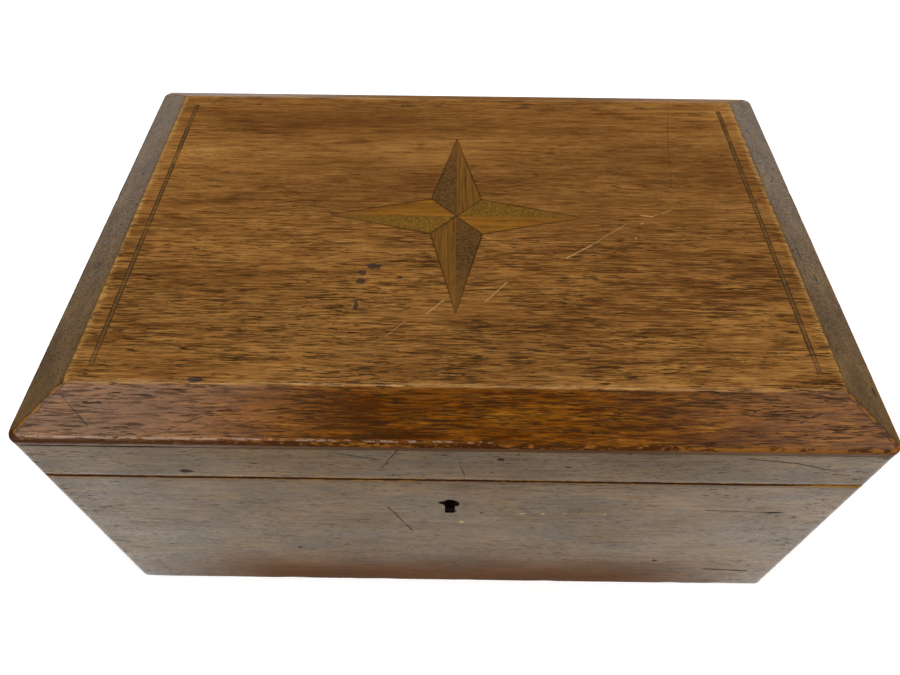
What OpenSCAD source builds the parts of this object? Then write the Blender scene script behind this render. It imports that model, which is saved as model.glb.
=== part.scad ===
/* [Overall size] */
// Width of the box along X
box_w = 300; // [250:1:360]
// Depth of the box along Y
box_d = 204; // [170:1:245]
// Height of the body, from the base to its top edge
body_h = 106.4; // [88:0.1:128]
// Height of the lid's upright rim, from its lower edge to the lower edge of the bevel
rim_h = 24.8; // [20:0.1:32]
// Height that the bevel climbs to the flat top
bevel_rise = 9.8; // [6:0.1:14]
// Width of the bevel in plan, on all four sides
bevel_inset = 17.7; // [12:0.1:24]
// Radius of the four upright corners in plan
corner_r = 4; // [2:0.1:4.5]

/* [Carcass] */
// Thickness of the softwood walls and rails under the veneer
wall_t = 9; // [7.5:0.1:11]
// Thickness of the face veneer
veneer_t = 1; // [0.6:0.1:1.4]
// Thickness of the edging on the edges that meet at the seam
edging_t = 1; // [0.6:0.1:1.5]
// Gap between the closed lid and the body
seam_gap = 0.3; // [0.2:0.05:0.6]
// Thickness of the lip of a long wall that laps over the end of a short wall
lap_t = 4.2; // [3.8:0.1:6]
// Thickness of the bottom board
bottom_t = 6; // [4:0.1:8]
// Depth of the rebate in the walls that takes the bottom board
rebate_d = 5; // [3:0.1:6]
// Clearance between the bottom board's edges and its rebate
panel_fit = 0.2; // [0.1:0.05:0.5]
// Height of the top board's square edge below the bevel
board_edge_h = 2.6; // [2:0.1:4]

/* [Brads in the bottom board] */
// Radius of a brad's shank
brad_r = 0.7; // [0.5:0.05:1]
// Radius of a brad's head
brad_head_r = 1.2; // [1.1:0.05:1.6]
// Thickness of a brad's head
brad_head_h = 0.6; // [0.4:0.1:1]
// Length of a brad
brad_l = 15; // [12:0.5:20]
// Distance of the outermost brads from the inside corners
brad_end = 25; // [15:1:40]
// Number of brads along a long wall
brads_long = 4; // [3:1:6]
// Number of brads along a short wall
brads_short = 3; // [2:1:4]

/* [Inlay] */
// Depth that the star and the strings are let into the top board
inlay_t = 1; // [0.6:0.1:1.5]
// Distance from the star's centre to a point
star_r = 52; // [40:0.5:65]
// Offset of the star's inner corners from the centre, in X and in Y
star_waist = 10.5; // [7:0.1:14]
// Distance from the side edges of the flat top to the middle of a string
string_inset_x = 7.1; // [4:0.1:12]
// Distance from the front and back edges of the flat top to the middle of a string
string_inset_y = 6.2; // [4:0.1:12]
// Whole width of a string: one light line between two dark ones
string_w = 2; // [1.5:0.1:3]
// Width of the light line
string_light_w = 0.8; // [0.5:0.1:1.2]

/* [Hinges] */
// Distance from the middle of the box to the middle of a hinge
hinge_x = 92; // [70:1:105]
// Length of a hinge
hinge_l = 38; // [30:1:46]
// Distance of the pin's axis in front of the back face
hinge_inset = 2.5; // [2.4:0.1:3]
// Outside radius of the knuckles
knuckle_r = 2.2; // [1.9:0.05:2.3]
// Number of knuckles on a hinge
knuckles = 5; // [3:2:7]
// Radius of the hinge pin
pin_r = 1; // [0.8:0.05:1.2]
// Radial clearance of the pin in the lid leaf's knuckles
pin_fit = 0.05; // [0.02:0.01:0.1]
// Clearance beside and around the knuckles
knuckle_fit = 0.3; // [0.2:0.05:0.4]
// Width of a leaf, from the pin's axis to its front edge
leaf_w = 6.6; // [6.2:0.1:7]
// Thickness of a leaf
leaf_t = 1.2; // [1:0.1:1.5]
// Clearance around a leaf in its recess
leaf_fit = 0.1; // [0.05:0.05:0.2]
// Distance from the pin's axis to the row of screws
leaf_screw_y = 4.6; // [4.2:0.1:4.8]
// Distance between the screws of a leaf
leaf_screw_step = 12.5; // [9:0.5:14]
// Slope of the chamfers that meet behind the hinge when the lid is open
stop_angle = 49; // [46:0.5:52]

/* [Screws] */
// Radius of a screw's head
head_r = 1.7; // [1.4:0.05:1.8]
// Height of a screw's countersunk head
head_h = 1.2; // [1:0.1:1.4]
// Radius of a screw's shank
shank_r = 0.9; // [0.7:0.05:1.1]
// Length of a screw's point
point_l = 2; // [1.5:0.1:3]
// Length of a hinge or link plate screw
screw_l = 9; // [7:0.5:12]
// Length of a lock screw
lock_screw_l = 6.6; // [5:0.1:7]
// Width of the slot in a screw's head
slot_w = 0.5; // [0.4:0.1:0.7]
// Depth of the slot in a screw's head
slot_d = 0.5; // [0.3:0.1:0.7]

/* [Keyhole and lock] */
// Place of the keyhole and lock along X
lock_x = -1.1; // [-10:0.1:10]
// Distance from the body's top edge down to the middle of the keyhole
key_drop = 18.7; // [17:0.1:22]
// Radius of the keyhole's round head
keyhole_r = 2.7; // [2.2:0.1:3.2]
// Width of the keyhole's slot
keyhole_slot_w = 3.9; // [3:0.1:4.2]
// Distance from the middle of the head to the foot of the slot
keyhole_slot_l = 9.4; // [7:0.1:11]
// Thickness of core left in front of the lock
lock_cover_t = 2; // [1.2:0.1:2.5]
// Width of the lock's brass plate
lock_w = 44; // [40:1:52]
// Height of the lock's brass plate
lock_h = 37; // [34:0.5:42]
// Thickness of the lock's plate, selvedge and link plate
plate_t = 1.2; // [1:0.1:1.4]
// Thickness of the lock's cap
cap_t = 0.8; // [0.6:0.1:1]
// Distance from the edge of the lock's plate to the outside of the cap
cap_margin = 5; // [4.6:0.1:5.5]
// Clearance around the lock in its mortise
lock_fit = 0.15; // [0.1:0.05:0.3]
// Radius of the drill pin that the key turns on
key_pin_r = 1; // [0.8:0.05:1.2]
// Distance from the middle of the lock to a link
link_x = 8; // [7.5:0.1:8.4]
// Thickness of a link along X
link_t = 1.6; // [1.2:0.1:1.8]
// Distance that a link reaches below the lid
link_drop = 6.4; // [6:0.1:7]
// Width of metal at the sides and foot of a link's eye
link_edge = 0.8; // [0.7:0.05:1]
// Clearance of a link in the lock, front and back
link_fit = 0.4; // [0.35:0.05:0.5]
// Distance that the bolt slides to lock
bolt_travel = 4.5; // [4:0.1:4.6]
// Clearance of the bolt in the links and beside them
bolt_fit = 0.2; // [0.15:0.05:0.3]
// Height of the bolt's bar
bolt_h = 5.4; // [5:0.1:6]
// Radius of the stumps that guide the bolt
stump_r = 1.1; // [0.9:0.05:1.2]
// Clearance of a stump in the bolt's slot
stump_fit = 0.1; // [0.05:0.05:0.15]
// Thickness of the lock's leaf spring
spring_t = 0.5; // [0.4:0.05:0.7]

/* [Hidden] */
$fn = 48;
over = 1; // how far a cut runs past the face it leaves by

// the sides of the box, as turns about Z of the front
FRONT = 0;
RIGHT = 90;
BACK = 180;
LEFT = 270;

// plan of the box
half_w = box_w / 2;
half_d = box_d / 2;
core_half_w = half_w - veneer_t;
core_half_d = half_d - veneer_t;
inner_half_w = core_half_w - wall_t;
inner_half_d = core_half_d - wall_t;
edge_w = veneer_t + wall_t;
mitre_reach = edge_w + over;

// heights
lid_z = body_h + seam_gap;
arris_z = lid_z + rim_h;
board_z = arris_z - board_edge_h;
top_z = arris_z + bevel_rise;
body_core_h = body_h - edging_t;
rail_z = lid_z + edging_t;
rail_h = board_z - rail_z;

// inlay
string_half_x = half_w - bevel_inset - string_inset_x;
string_half_y = half_d - bevel_inset - string_inset_y;

// hinge
pivot_y = half_d - hinge_inset;
pivot_z = body_h + seam_gap / 2;
knuckle_l = hinge_l / knuckles;
groove_reach = hinge_inset + over;

// lock: x from its middle, z from the body's top edge
lock_front_y = -core_half_d + lock_cover_t;
lock_back_y = -inner_half_d;
cap_half_w = lock_w / 2 - cap_margin;
cap_h = lock_h - 3;
cap_inner_d = wall_t - lock_cover_t - plate_t - cap_t;
bolt_y = lock_front_y + cap_t + cap_inner_d / 2;
link_d = cap_inner_d - 2 * link_fit;
eye_w = link_d - 2 * link_edge;
bolt_t = eye_w - 2 * bolt_fit;
link_foot_z = seam_gap - link_drop;
eye_foot_z = link_foot_z + link_edge;
eye_h = 2.6;
finger_foot_z = eye_foot_z + bolt_fit;
finger_top_z = eye_foot_z + eye_h - bolt_fit;
bar_top_z = link_foot_z - 3 * bolt_fit;
bar_foot_z = bar_top_z - bolt_h;
riser_w = 2.2;
bolt_rest_gap = 0.5;
stump_x = 8.5;
stump_z = bar_foot_z + bolt_h / 2;
lock_screw_x = lock_w / 2 - cap_margin / 2;
link_screw_x = lock_w / 2 - cap_margin;

mahogany = [0.40, 0.19, 0.09];
rim_brown = [0.36, 0.21, 0.14];
softwood = [0.74, 0.58, 0.38];
brass = [0.72, 0.56, 0.27];
steel = [0.45, 0.45, 0.46];
dark_wood = [0.13, 0.08, 0.05];
light_wood = [0.55, 0.45, 0.24];
gold_burr = [0.55, 0.36, 0.13];
brown_burr = [0.30, 0.16, 0.08];

// ---- outlines in plan ----

// rectangle with rounded corners about the origin
module rounded_plan(half_x, half_y, radius) {
    square([2 * (half_x - radius), 2 * half_y], center = true);
    square([2 * half_x, 2 * (half_y - radius)], center = true);
    for (sx = [-1, 1], sy = [-1, 1])
        translate([sx * (half_x - radius), sy * (half_y - radius)])
            circle(r = radius);
}

// the part of the plan that belongs to one side, between two mitres
module mitre_sector(turn, half_x, half_y, reach) {
    length = turn % 180 == 0 ? half_x : half_y;
    depth = turn % 180 == 0 ? half_y : half_x;
    rotate(turn)
        polygon([
            [-length - over, -depth - over], [length + over, -depth - over],
            [length - reach, -depth + reach], [-length + reach, -depth + reach]
        ]);
}

// one side of the veneer that wraps the core
module veneer_side(turn, base, height) {
    translate([0, 0, base])
        linear_extrude(height)
            intersection() {
                difference() {
                    rounded_plan(half_w, half_d, corner_r);
                    rounded_plan(core_half_w, core_half_d, corner_r - veneer_t);
                }
                mitre_sector(turn, half_w, half_d, mitre_reach);
            }
}

// one side of the edging that covers wall and veneer at the seam
module edging_side(turn, base) {
    translate([0, 0, base])
        linear_extrude(edging_t)
            intersection() {
                difference() {
                    rounded_plan(half_w, half_d, corner_r);
                    square([2 * inner_half_w, 2 * inner_half_d], center = true);
                }
                mitre_sector(turn, half_w, half_d, mitre_reach);
            }
}

// plan of a short wall or rail; side is 1 on the right, -1 on the left
module short_wall_plan(side) {
    translate([side * (inner_half_w + wall_t / 2), 0])
        square([wall_t, 2 * (core_half_d - lap_t)], center = true);
}

// plan of a long wall or rail, with a lap at each end; side is 1 at the back, -1 at the front
module long_wall_plan(side) {
    difference() {
        intersection() {
            rounded_plan(core_half_w, core_half_d, corner_r - veneer_t);
            translate([0, side * (inner_half_d + wall_t / 2)])
                square([2 * core_half_w, wall_t], center = true);
        }
        short_wall_plan(1);
        short_wall_plan(-1);
    }
}

// ---- shapes that cut or repeat ----

// an outline in Y and Z, extruded along X about the middle
module along_x(length) {
    translate([-length / 2, 0, 0])
        rotate([90, 0, 90])
            linear_extrude(length)
                children();
}

// an outline in X and Z, extruded along Y from y = 0 towards the back
module along_y(length) {
    translate([0, length, 0])
        rotate([90, 0, 0])
            linear_extrude(length)
                children();
}

// round rod along X about the middle
module rod_x(radius, length) {
    rotate([0, 90, 0])
        cylinder(r = radius, h = length, center = true);
}

// round rod along Y, from y = 0 towards the back
module rod_y(radius, length) {
    rotate([-90, 0, 0])
        cylinder(r = radius, h = length);
}

// the V between the chamfered back edges of body and lid, with its point on the hinge axis
module stop_groove() {
    rise = groove_reach * tan(stop_angle);
    translate([0, pivot_y, pivot_z])
        along_x(box_w + 2 * over)
            polygon([[0, 0], [groove_reach, -rise], [groove_reach, rise]]);
}

// wood screw pointing down, its head's top at z = 0; a hole for it has no slot
module screw(length, slotted = true) {
    difference() {
        union() {
            translate([0, 0, -head_h])
                cylinder(r1 = shank_r, r2 = head_r, h = head_h);
            translate([0, 0, point_l - length])
                cylinder(r = shank_r, h = length - point_l - head_h);
            translate([0, 0, -length])
                cylinder(r1 = 0.1, r2 = shank_r, h = point_l);
        }
        if (slotted)
            translate([-head_r - over, -slot_w / 2, -slot_d])
                cube([2 * (head_r + over), slot_w, slot_d + over]);
    }
}

// ---- bottom ----

module bottom_plate(clearance) {
    edge_x = inner_half_w + rebate_d - clearance;
    edge_y = inner_half_d + rebate_d - clearance;
    translate([-edge_x, -edge_y, 0])
        cube([2 * edge_x, 2 * edge_y, bottom_t]);
}

// evenly spaced places along a wall whose inside runs from -reach to reach
function brad_places(count, reach) =
    [for (i = [0 : count - 1]) (reach - brad_end) * (2 * i / (count - 1) - 1)];

module brads() {
    line_x = inner_half_w + rebate_d / 2;
    line_y = inner_half_d + rebate_d / 2;
    places = concat(
        [for (x = brad_places(brads_long, inner_half_w), s = [-1, 1]) [x, s * line_y]],
        [for (y = brad_places(brads_short, inner_half_d), s = [-1, 1]) [s * line_x, y]]
    );
    for (place = places)
        translate([place[0], place[1], 0]) {
            cylinder(r = brad_head_r, h = brad_head_h);
            cylinder(r = brad_r, h = brad_l);
        }
}

// ---- carcass of the body ----

module body_shape() {
    difference() {
        linear_extrude(body_core_h)
            children();
        bottom_plate(0);
        brads();
    }
}

module front_wall() {
    color(softwood)
        difference() {
            body_shape()
                long_wall_plan(-1);
            lock_mortise();
            keyhole();
            lock_screw_set(false);
        }
}

module back_wall() {
    color(softwood)
        difference() {
            body_shape()
                long_wall_plan(1);
            stop_groove();
            hinge_recesses();
            hinge_screw_set(-1, false);
        }
}

module left_wall() {
    color(softwood)
        body_shape()
            short_wall_plan(-1);
}

module right_wall() {
    color(softwood)
        body_shape()
            short_wall_plan(1);
}

module bottom_board() {
    color(softwood)
        difference() {
            bottom_plate(panel_fit);
            brads();
        }
}

module bottom_brads() {
    color(steel)
        brads();
}

// ---- veneers and edgings of the body ----

module body_veneer(turn) {
    color(rim_brown)
        difference() {
            veneer_side(turn, 0, body_core_h);
            stop_groove();
            hinge_recesses();
            keyhole();
        }
}

module front_veneer() { body_veneer(FRONT); }
module back_veneer() { body_veneer(BACK); }
module left_veneer() { body_veneer(LEFT); }
module right_veneer() { body_veneer(RIGHT); }

module body_edging(turn) {
    color(rim_brown)
        difference() {
            edging_side(turn, body_core_h);
            stop_groove();
            hinge_recesses();
            hinge_screw_set(-1, false);
            lock_mortise();
        }
}

module front_edging() { body_edging(FRONT); }
module back_edging() { body_edging(BACK); }
module left_edging() { body_edging(LEFT); }
module right_edging() { body_edging(RIGHT); }

// ---- hinges ----

// a leaf about its pin's axis; level is -1 on the body, 1 on the lid
module leaf_plate(level, clearance) {
    low = level > 0 ? seam_gap / 2 : -seam_gap / 2 - leaf_t;
    translate([-hinge_l / 2 - clearance, -leaf_w - clearance, low])
        cube([hinge_l + 2 * clearance, leaf_w + clearance, leaf_t]);
}

// the body leaf has the even knuckles and the lid leaf the odd ones
module knuckle_row(level, radius, clearance) {
    first = level > 0 ? 1 : 0;
    for (i = [first : 2 : knuckles - 1])
        translate([(i + 0.5) * knuckle_l - hinge_l / 2, 0, 0])
            rod_x(radius, knuckle_l + 2 * clearance);
}

module leaf_screw_places() {
    for (i = [-1 : 1])
        translate([i * leaf_screw_step, -leaf_screw_y, 0])
            children();
}

module hinge_leaf(level) {
    bore_r = level > 0 ? pin_r + pin_fit : pin_r;
    color(brass)
        difference() {
            union() {
                leaf_plate(level, 0);
                knuckle_row(level, knuckle_r, 0);
            }
            knuckle_row(-level, knuckle_r + knuckle_fit, knuckle_fit / 2);
            rod_x(bore_r, hinge_l + 2 * over);
            leaf_screw_places()
                hinge_screw(level, false);
        }
}

// a hinge screw in its leaf, its head flush with the leaf's open face
module hinge_screw(level, slotted) {
    translate([0, 0, level * seam_gap / 2])
        rotate([level > 0 ? 180 : 0, 0, 0])
            screw(screw_l, slotted);
}

module hinge_place(side) {
    translate([side * hinge_x, pivot_y, pivot_z])
        children();
}

module hinge_recesses() {
    for (side = [-1, 1])
        hinge_place(side) {
            leaf_plate(-1, leaf_fit);
            leaf_plate(1, leaf_fit);
            rod_x(knuckle_r + knuckle_fit, hinge_l + 2 * knuckle_fit);
        }
}

module hinge_screw_set(level, slotted) {
    for (side = [-1, 1])
        hinge_place(side)
            leaf_screw_places()
                hinge_screw(level, slotted);
}

module hinge_pin() {
    color(brass)
        rod_x(pin_r, hinge_l);
}

module left_hinge_body_leaf() { hinge_place(-1) hinge_leaf(-1); }
module right_hinge_body_leaf() { hinge_place(1) hinge_leaf(-1); }
module left_hinge_lid_leaf() { hinge_place(-1) hinge_leaf(1); }
module right_hinge_lid_leaf() { hinge_place(1) hinge_leaf(1); }
module left_hinge_pin() { hinge_place(-1) hinge_pin(); }
module right_hinge_pin() { hinge_place(1) hinge_pin(); }
module body_hinge_screws() { color(brass) hinge_screw_set(-1, true); }
module lid_hinge_screws() { color(brass) hinge_screw_set(1, true); }

// ---- lock ----

module lock_place() {
    translate([lock_x, 0, body_h])
        children();
}

// keyhole outline, its round head about the origin
module keyhole_plan() {
    circle(r = keyhole_r);
    translate([-keyhole_slot_w / 2, -keyhole_slot_l])
        square([keyhole_slot_w, keyhole_slot_l]);
}

// the keyhole, from the front face into the lock
module keyhole() {
    lock_place()
        translate([0, -half_d - over, -key_drop])
            along_y(over + veneer_t + lock_cover_t + cap_t)
                keyhole_plan();
}

module lock_mortise() {
    depth = lock_back_y - lock_front_y;
    lock_place() {
        translate([-cap_half_w - lock_fit, lock_front_y, -cap_h - lock_fit])
            cube([2 * (cap_half_w + lock_fit), depth + over, cap_h + lock_fit + over]);
        translate([-lock_w / 2 - lock_fit, lock_back_y - plate_t, -lock_h - lock_fit])
            cube([lock_w + 2 * lock_fit, plate_t + over, lock_h + lock_fit + over]);
        translate([-lock_w / 2 - lock_fit, lock_front_y, -plate_t])
            cube([lock_w + 2 * lock_fit, depth + over, plate_t + over]);
    }
}

module link_places() {
    for (side = [-1, 1])
        translate([side * link_x, bolt_y, 0])
            children();
}

module lock_screw_places() {
    for (side = [-1, 1], z = [-plate_t - cap_margin, -lock_h + cap_margin])
        translate([side * lock_screw_x, lock_back_y, z])
            children();
}

module lock_screw_set(slotted) {
    lock_place()
        lock_screw_places()
            rotate([-90, 0, 0])
                screw(lock_screw_l, slotted);
}

// plate on the inside face with the selvedge along its top, slotted for the links
module lock_plate() {
    slot_x = link_t + 4 * bolt_fit;
    color(brass)
        difference() {
            lock_place()
                difference() {
                    union() {
                        translate([-lock_w / 2, lock_back_y - plate_t, -lock_h])
                            cube([lock_w, plate_t, lock_h]);
                        translate([-lock_w / 2, lock_front_y, -plate_t])
                            cube([lock_w, lock_back_y - lock_front_y, plate_t]);
                    }
                    link_places()
                        translate([-slot_x / 2, -cap_inner_d / 2, -plate_t - over])
                            cube([slot_x, cap_inner_d, plate_t + 2 * over]);
                    lock_pin_places()
                        rod_y(stump_r, cap_inner_d + plate_t + over);
                    translate([0, bolt_y, -key_drop])
                        rod_y(key_pin_r, cap_inner_d + plate_t);
                }
            lock_screw_set(false);
        }
}

// cover of the works, open towards the plate
module lock_cap() {
    color(brass)
        difference() {
            lock_place()
                difference() {
                    translate([-cap_half_w, lock_front_y, -cap_h])
                        cube([2 * cap_half_w, cap_t + cap_inner_d, cap_h - plate_t]);
                    translate([-cap_half_w + cap_t, lock_front_y + cap_t, -cap_h + cap_t])
                        cube([2 * (cap_half_w - cap_t), cap_inner_d + over, cap_h]);
                }
            keyhole();
        }
}

// stumps run from the cap's front wall into the plate
module lock_pin_places() {
    for (side = [-1, 1])
        translate([side * stump_x, lock_front_y + cap_t, stump_z])
            children();
}

module lock_stumps() {
    color(steel)
        lock_place()
            lock_pin_places()
                rod_y(stump_r, cap_inner_d + plate_t);
}

module lock_key_pin() {
    color(steel)
        lock_place()
            translate([0, lock_front_y + cap_t, -key_drop])
                rod_y(key_pin_r, cap_inner_d + plate_t);
}

// the bolt's bar with two raised fingers that point to +X, unlocked
module bolt_plan() {
    riser_x = link_x - link_t / 2 - bolt_travel - bolt_fit;
    finger_x = link_x - link_t / 2 - bolt_rest_gap;
    bar_left = -2 * link_x + riser_x - riser_w;
    bar_right = stump_x + stump_r + 1.6;
    talon_w = bolt_travel + 0.5;
    difference() {
        union() {
            translate([bar_left, bar_foot_z])
                square([bar_right - bar_left, bolt_h]);
            for (shift = [-2 * link_x, 0]) {
                translate([shift + riser_x - riser_w, bar_foot_z])
                    square([riser_w, finger_top_z - bar_foot_z]);
                translate([shift + riser_x - riser_w, finger_foot_z])
                    square([finger_x - riser_x + riser_w, finger_top_z - finger_foot_z]);
            }
        }
        for (x = [-stump_x, stump_x]) {
            translate([x, stump_z])
                circle(r = stump_r + stump_fit);
            translate([x - bolt_travel, stump_z])
                circle(r = stump_r + stump_fit);
            translate([x - bolt_travel, stump_z - stump_r - stump_fit])
                square([bolt_travel, 2 * (stump_r + stump_fit)]);
        }
        translate([-talon_w, bar_foot_z - over])
            square([talon_w, over + bolt_h / 2]);
    }
}

module lock_bolt() {
    color(brass)
        lock_place()
            translate([0, bolt_y - bolt_t / 2, 0])
                along_y(bolt_t)
                    bolt_plan();
}

// leaf spring that bears up on the bolt from the cap's right wall
module lock_spring() {
    wall_x = cap_half_w - cap_t;
    tip = [stump_x - 3, bar_foot_z - 0.1];
    bend = [wall_x - spring_t, bar_foot_z - 2.4];
    color(steel)
        lock_place()
            translate([0, bolt_y - bolt_t / 2, 0])
                along_y(bolt_t)
                    polygon([
                        tip, [tip[0], tip[1] - spring_t], [bend[0], bend[1] - spring_t],
                        [bend[0], bend[1] - 4], [wall_x, bend[1] - 4], [wall_x, bend[1]], bend
                    ]);
}

module lock_screws() {
    color(brass)
        lock_screw_set(true);
}

// plate under the front of the lid, with the two links that the bolt passes through
module link_plate() {
    color(brass)
        difference() {
            lock_place() {
                translate([-lock_w / 2, lock_front_y, seam_gap])
                    cube([lock_w, lock_back_y - lock_front_y, plate_t]);
                link_places()
                    difference() {
                        translate([-link_t / 2, -link_d / 2, link_foot_z])
                            cube([link_t, link_d, seam_gap - link_foot_z + plate_t / 2]);
                        translate([-link_t / 2 - over, -eye_w / 2, eye_foot_z])
                            cube([link_t + 2 * over, eye_w, eye_h]);
                    }
            }
            link_screw_set(false);
        }
}

module link_screw_set(slotted) {
    lock_place()
        for (side = [-1, 1])
            translate([side * link_screw_x, bolt_y, seam_gap])
                rotate([180, 0, 0])
                    screw(screw_l, slotted);
}

module link_plate_screws() {
    color(brass)
        link_screw_set(true);
}

// recess in the lid's front edge for the link plate
module link_recess() {
    lock_place()
        translate([-lock_w / 2 - lock_fit, lock_front_y - lock_fit, 0])
            cube([lock_w + 2 * lock_fit, lock_back_y - lock_front_y + over, seam_gap + plate_t]);
}

// ---- lid ----

module lid_cuts() {
    stop_groove();
    hinge_recesses();
    hinge_screw_set(1, false);
    link_recess();
    link_screw_set(false);
}

module lid_rail() {
    color(softwood)
        difference() {
            translate([0, 0, rail_z])
                linear_extrude(rail_h)
                    children();
            lid_cuts();
        }
}

module lid_front_rail() { lid_rail() long_wall_plan(-1); }
module lid_back_rail() { lid_rail() long_wall_plan(1); }
module lid_left_rail() { lid_rail() short_wall_plan(-1); }
module lid_right_rail() { lid_rail() short_wall_plan(1); }

module lid_veneer(turn) {
    color(rim_brown)
        difference() {
            veneer_side(turn, rail_z, rail_h);
            stop_groove();
            hinge_recesses();
        }
}

module lid_front_veneer() { lid_veneer(FRONT); }
module lid_back_veneer() { lid_veneer(BACK); }
module lid_left_veneer() { lid_veneer(LEFT); }
module lid_right_veneer() { lid_veneer(RIGHT); }

module lid_edging(turn) {
    color(rim_brown)
        difference() {
            edging_side(turn, lid_z);
            lid_cuts();
        }
}

module lid_front_edging() { lid_edging(FRONT); }
module lid_back_edging() { lid_edging(BACK); }
module lid_left_edging() { lid_edging(LEFT); }
module lid_right_edging() { lid_edging(RIGHT); }

// what the bevel takes off one side of the top board
module bevel_cut(turn) {
    slope = bevel_rise / bevel_inset;
    depth = turn % 180 == 0 ? half_d : half_w;
    rotate(turn)
        translate([0, -depth, top_z])
            along_x(2 * (half_w + over))
                polygon([
                    [-over, -bevel_rise - over * slope],
                    [bevel_inset + over, over * slope],
                    [-over, over * slope]
                ]);
}

// solid board with bevelled edges, recessed for the star and the strings
module top_board() {
    color(mahogany)
        difference() {
            translate([0, 0, board_z])
                linear_extrude(top_z - board_z)
                    rounded_plan(half_w, half_d, corner_r);
            for (turn = [FRONT, RIGHT, BACK, LEFT])
                bevel_cut(turn);
            translate([0, 0, top_z - inlay_t])
                linear_extrude(inlay_t + over) {
                    for (turn = [FRONT, RIGHT, BACK, LEFT])
                        rotate(turn) {
                            star_half_plan(-1);
                            star_half_plan(1);
                        }
                    frame_plan(string_w);
                }
        }
}

// ---- inlay ----

// half of the star's point that aims at +Y; side is -1 for its left half
module star_half_plan(side) {
    polygon([[0, 0], [side * star_waist, star_waist], [0, star_r]]);
}

module inlay(tint) {
    color(tint)
        translate([0, 0, top_z - inlay_t])
            linear_extrude(inlay_t)
                children();
}

module star_north_left() { inlay(brown_burr) star_half_plan(-1); }
module star_north_right() { inlay(brown_burr) star_half_plan(1); }
module star_south_left() { inlay(brown_burr) rotate(180) star_half_plan(1); }
module star_south_right() { inlay(brown_burr) rotate(180) star_half_plan(-1); }
module star_west_front() { inlay(gold_burr) rotate(90) star_half_plan(-1); }
module star_west_back() { inlay(gold_burr) rotate(90) star_half_plan(1); }
module star_east_front() { inlay(gold_burr) rotate(-90) star_half_plan(1); }
module star_east_back() { inlay(gold_burr) rotate(-90) star_half_plan(-1); }

// rectangular frame of one width along the strings' middle line
module frame_plan(width) {
    difference() {
        square([2 * string_half_x + width, 2 * string_half_y + width], center = true);
        square([2 * string_half_x - width, 2 * string_half_y - width], center = true);
    }
}

module string_sector(turn) {
    mitre_sector(turn, string_half_x, string_half_y, string_w + over);
}

module string_light(turn) {
    inlay(light_wood)
        intersection() {
            frame_plan(string_light_w);
            string_sector(turn);
        }
}

module string_dark(turn) {
    inlay(dark_wood)
        intersection() {
            difference() {
                frame_plan(string_w);
                frame_plan(string_light_w);
            }
            string_sector(turn);
        }
}

module string_light_front() { string_light(FRONT); }
module string_light_back() { string_light(BACK); }
module string_light_left() { string_light(LEFT); }
module string_light_right() { string_light(RIGHT); }
module string_dark_front() { string_dark(FRONT); }
module string_dark_back() { string_dark(BACK); }
module string_dark_left() { string_dark(LEFT); }
module string_dark_right() { string_dark(RIGHT); }

front_wall();
back_wall();
left_wall();
right_wall();
bottom_board();
bottom_brads();
front_veneer();
back_veneer();
left_veneer();
right_veneer();
front_edging();
back_edging();
left_edging();
right_edging();
lock_plate();
lock_cap();
lock_bolt();
lock_spring();
lock_key_pin();
lock_stumps();
lock_screws();
left_hinge_body_leaf();
right_hinge_body_leaf();
left_hinge_pin();
right_hinge_pin();
body_hinge_screws();
top_board();
lid_front_rail();
lid_back_rail();
lid_left_rail();
lid_right_rail();
lid_front_veneer();
lid_back_veneer();
lid_left_veneer();
lid_right_veneer();
lid_front_edging();
lid_back_edging();
lid_left_edging();
lid_right_edging();
star_north_left();
star_north_right();
star_south_left();
star_south_right();
star_west_front();
star_west_back();
star_east_front();
star_east_back();
string_light_front();
string_light_back();
string_light_left();
string_light_right();
string_dark_front();
string_dark_back();
string_dark_left();
string_dark_right();
left_hinge_lid_leaf();
right_hinge_lid_leaf();
lid_hinge_screws();
link_plate();
link_plate_screws();
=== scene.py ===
import math

import bmesh
import bpy
from mathutils import Matrix, Vector, noise


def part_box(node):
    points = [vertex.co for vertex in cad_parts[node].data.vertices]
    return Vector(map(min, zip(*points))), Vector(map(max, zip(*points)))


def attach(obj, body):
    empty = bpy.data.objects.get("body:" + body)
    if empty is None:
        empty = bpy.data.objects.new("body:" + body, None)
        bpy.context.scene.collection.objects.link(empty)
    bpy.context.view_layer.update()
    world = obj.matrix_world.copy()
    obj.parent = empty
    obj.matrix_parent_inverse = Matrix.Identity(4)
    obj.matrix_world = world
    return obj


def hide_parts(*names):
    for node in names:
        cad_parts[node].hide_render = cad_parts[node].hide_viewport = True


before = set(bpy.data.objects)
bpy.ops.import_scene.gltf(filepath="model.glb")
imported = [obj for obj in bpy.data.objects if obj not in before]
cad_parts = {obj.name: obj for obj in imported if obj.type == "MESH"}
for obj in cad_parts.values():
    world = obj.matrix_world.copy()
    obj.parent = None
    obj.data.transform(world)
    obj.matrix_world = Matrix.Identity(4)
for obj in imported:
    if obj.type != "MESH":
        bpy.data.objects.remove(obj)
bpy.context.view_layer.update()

MM = 0.001

# ---- sizes, from the frame

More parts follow.
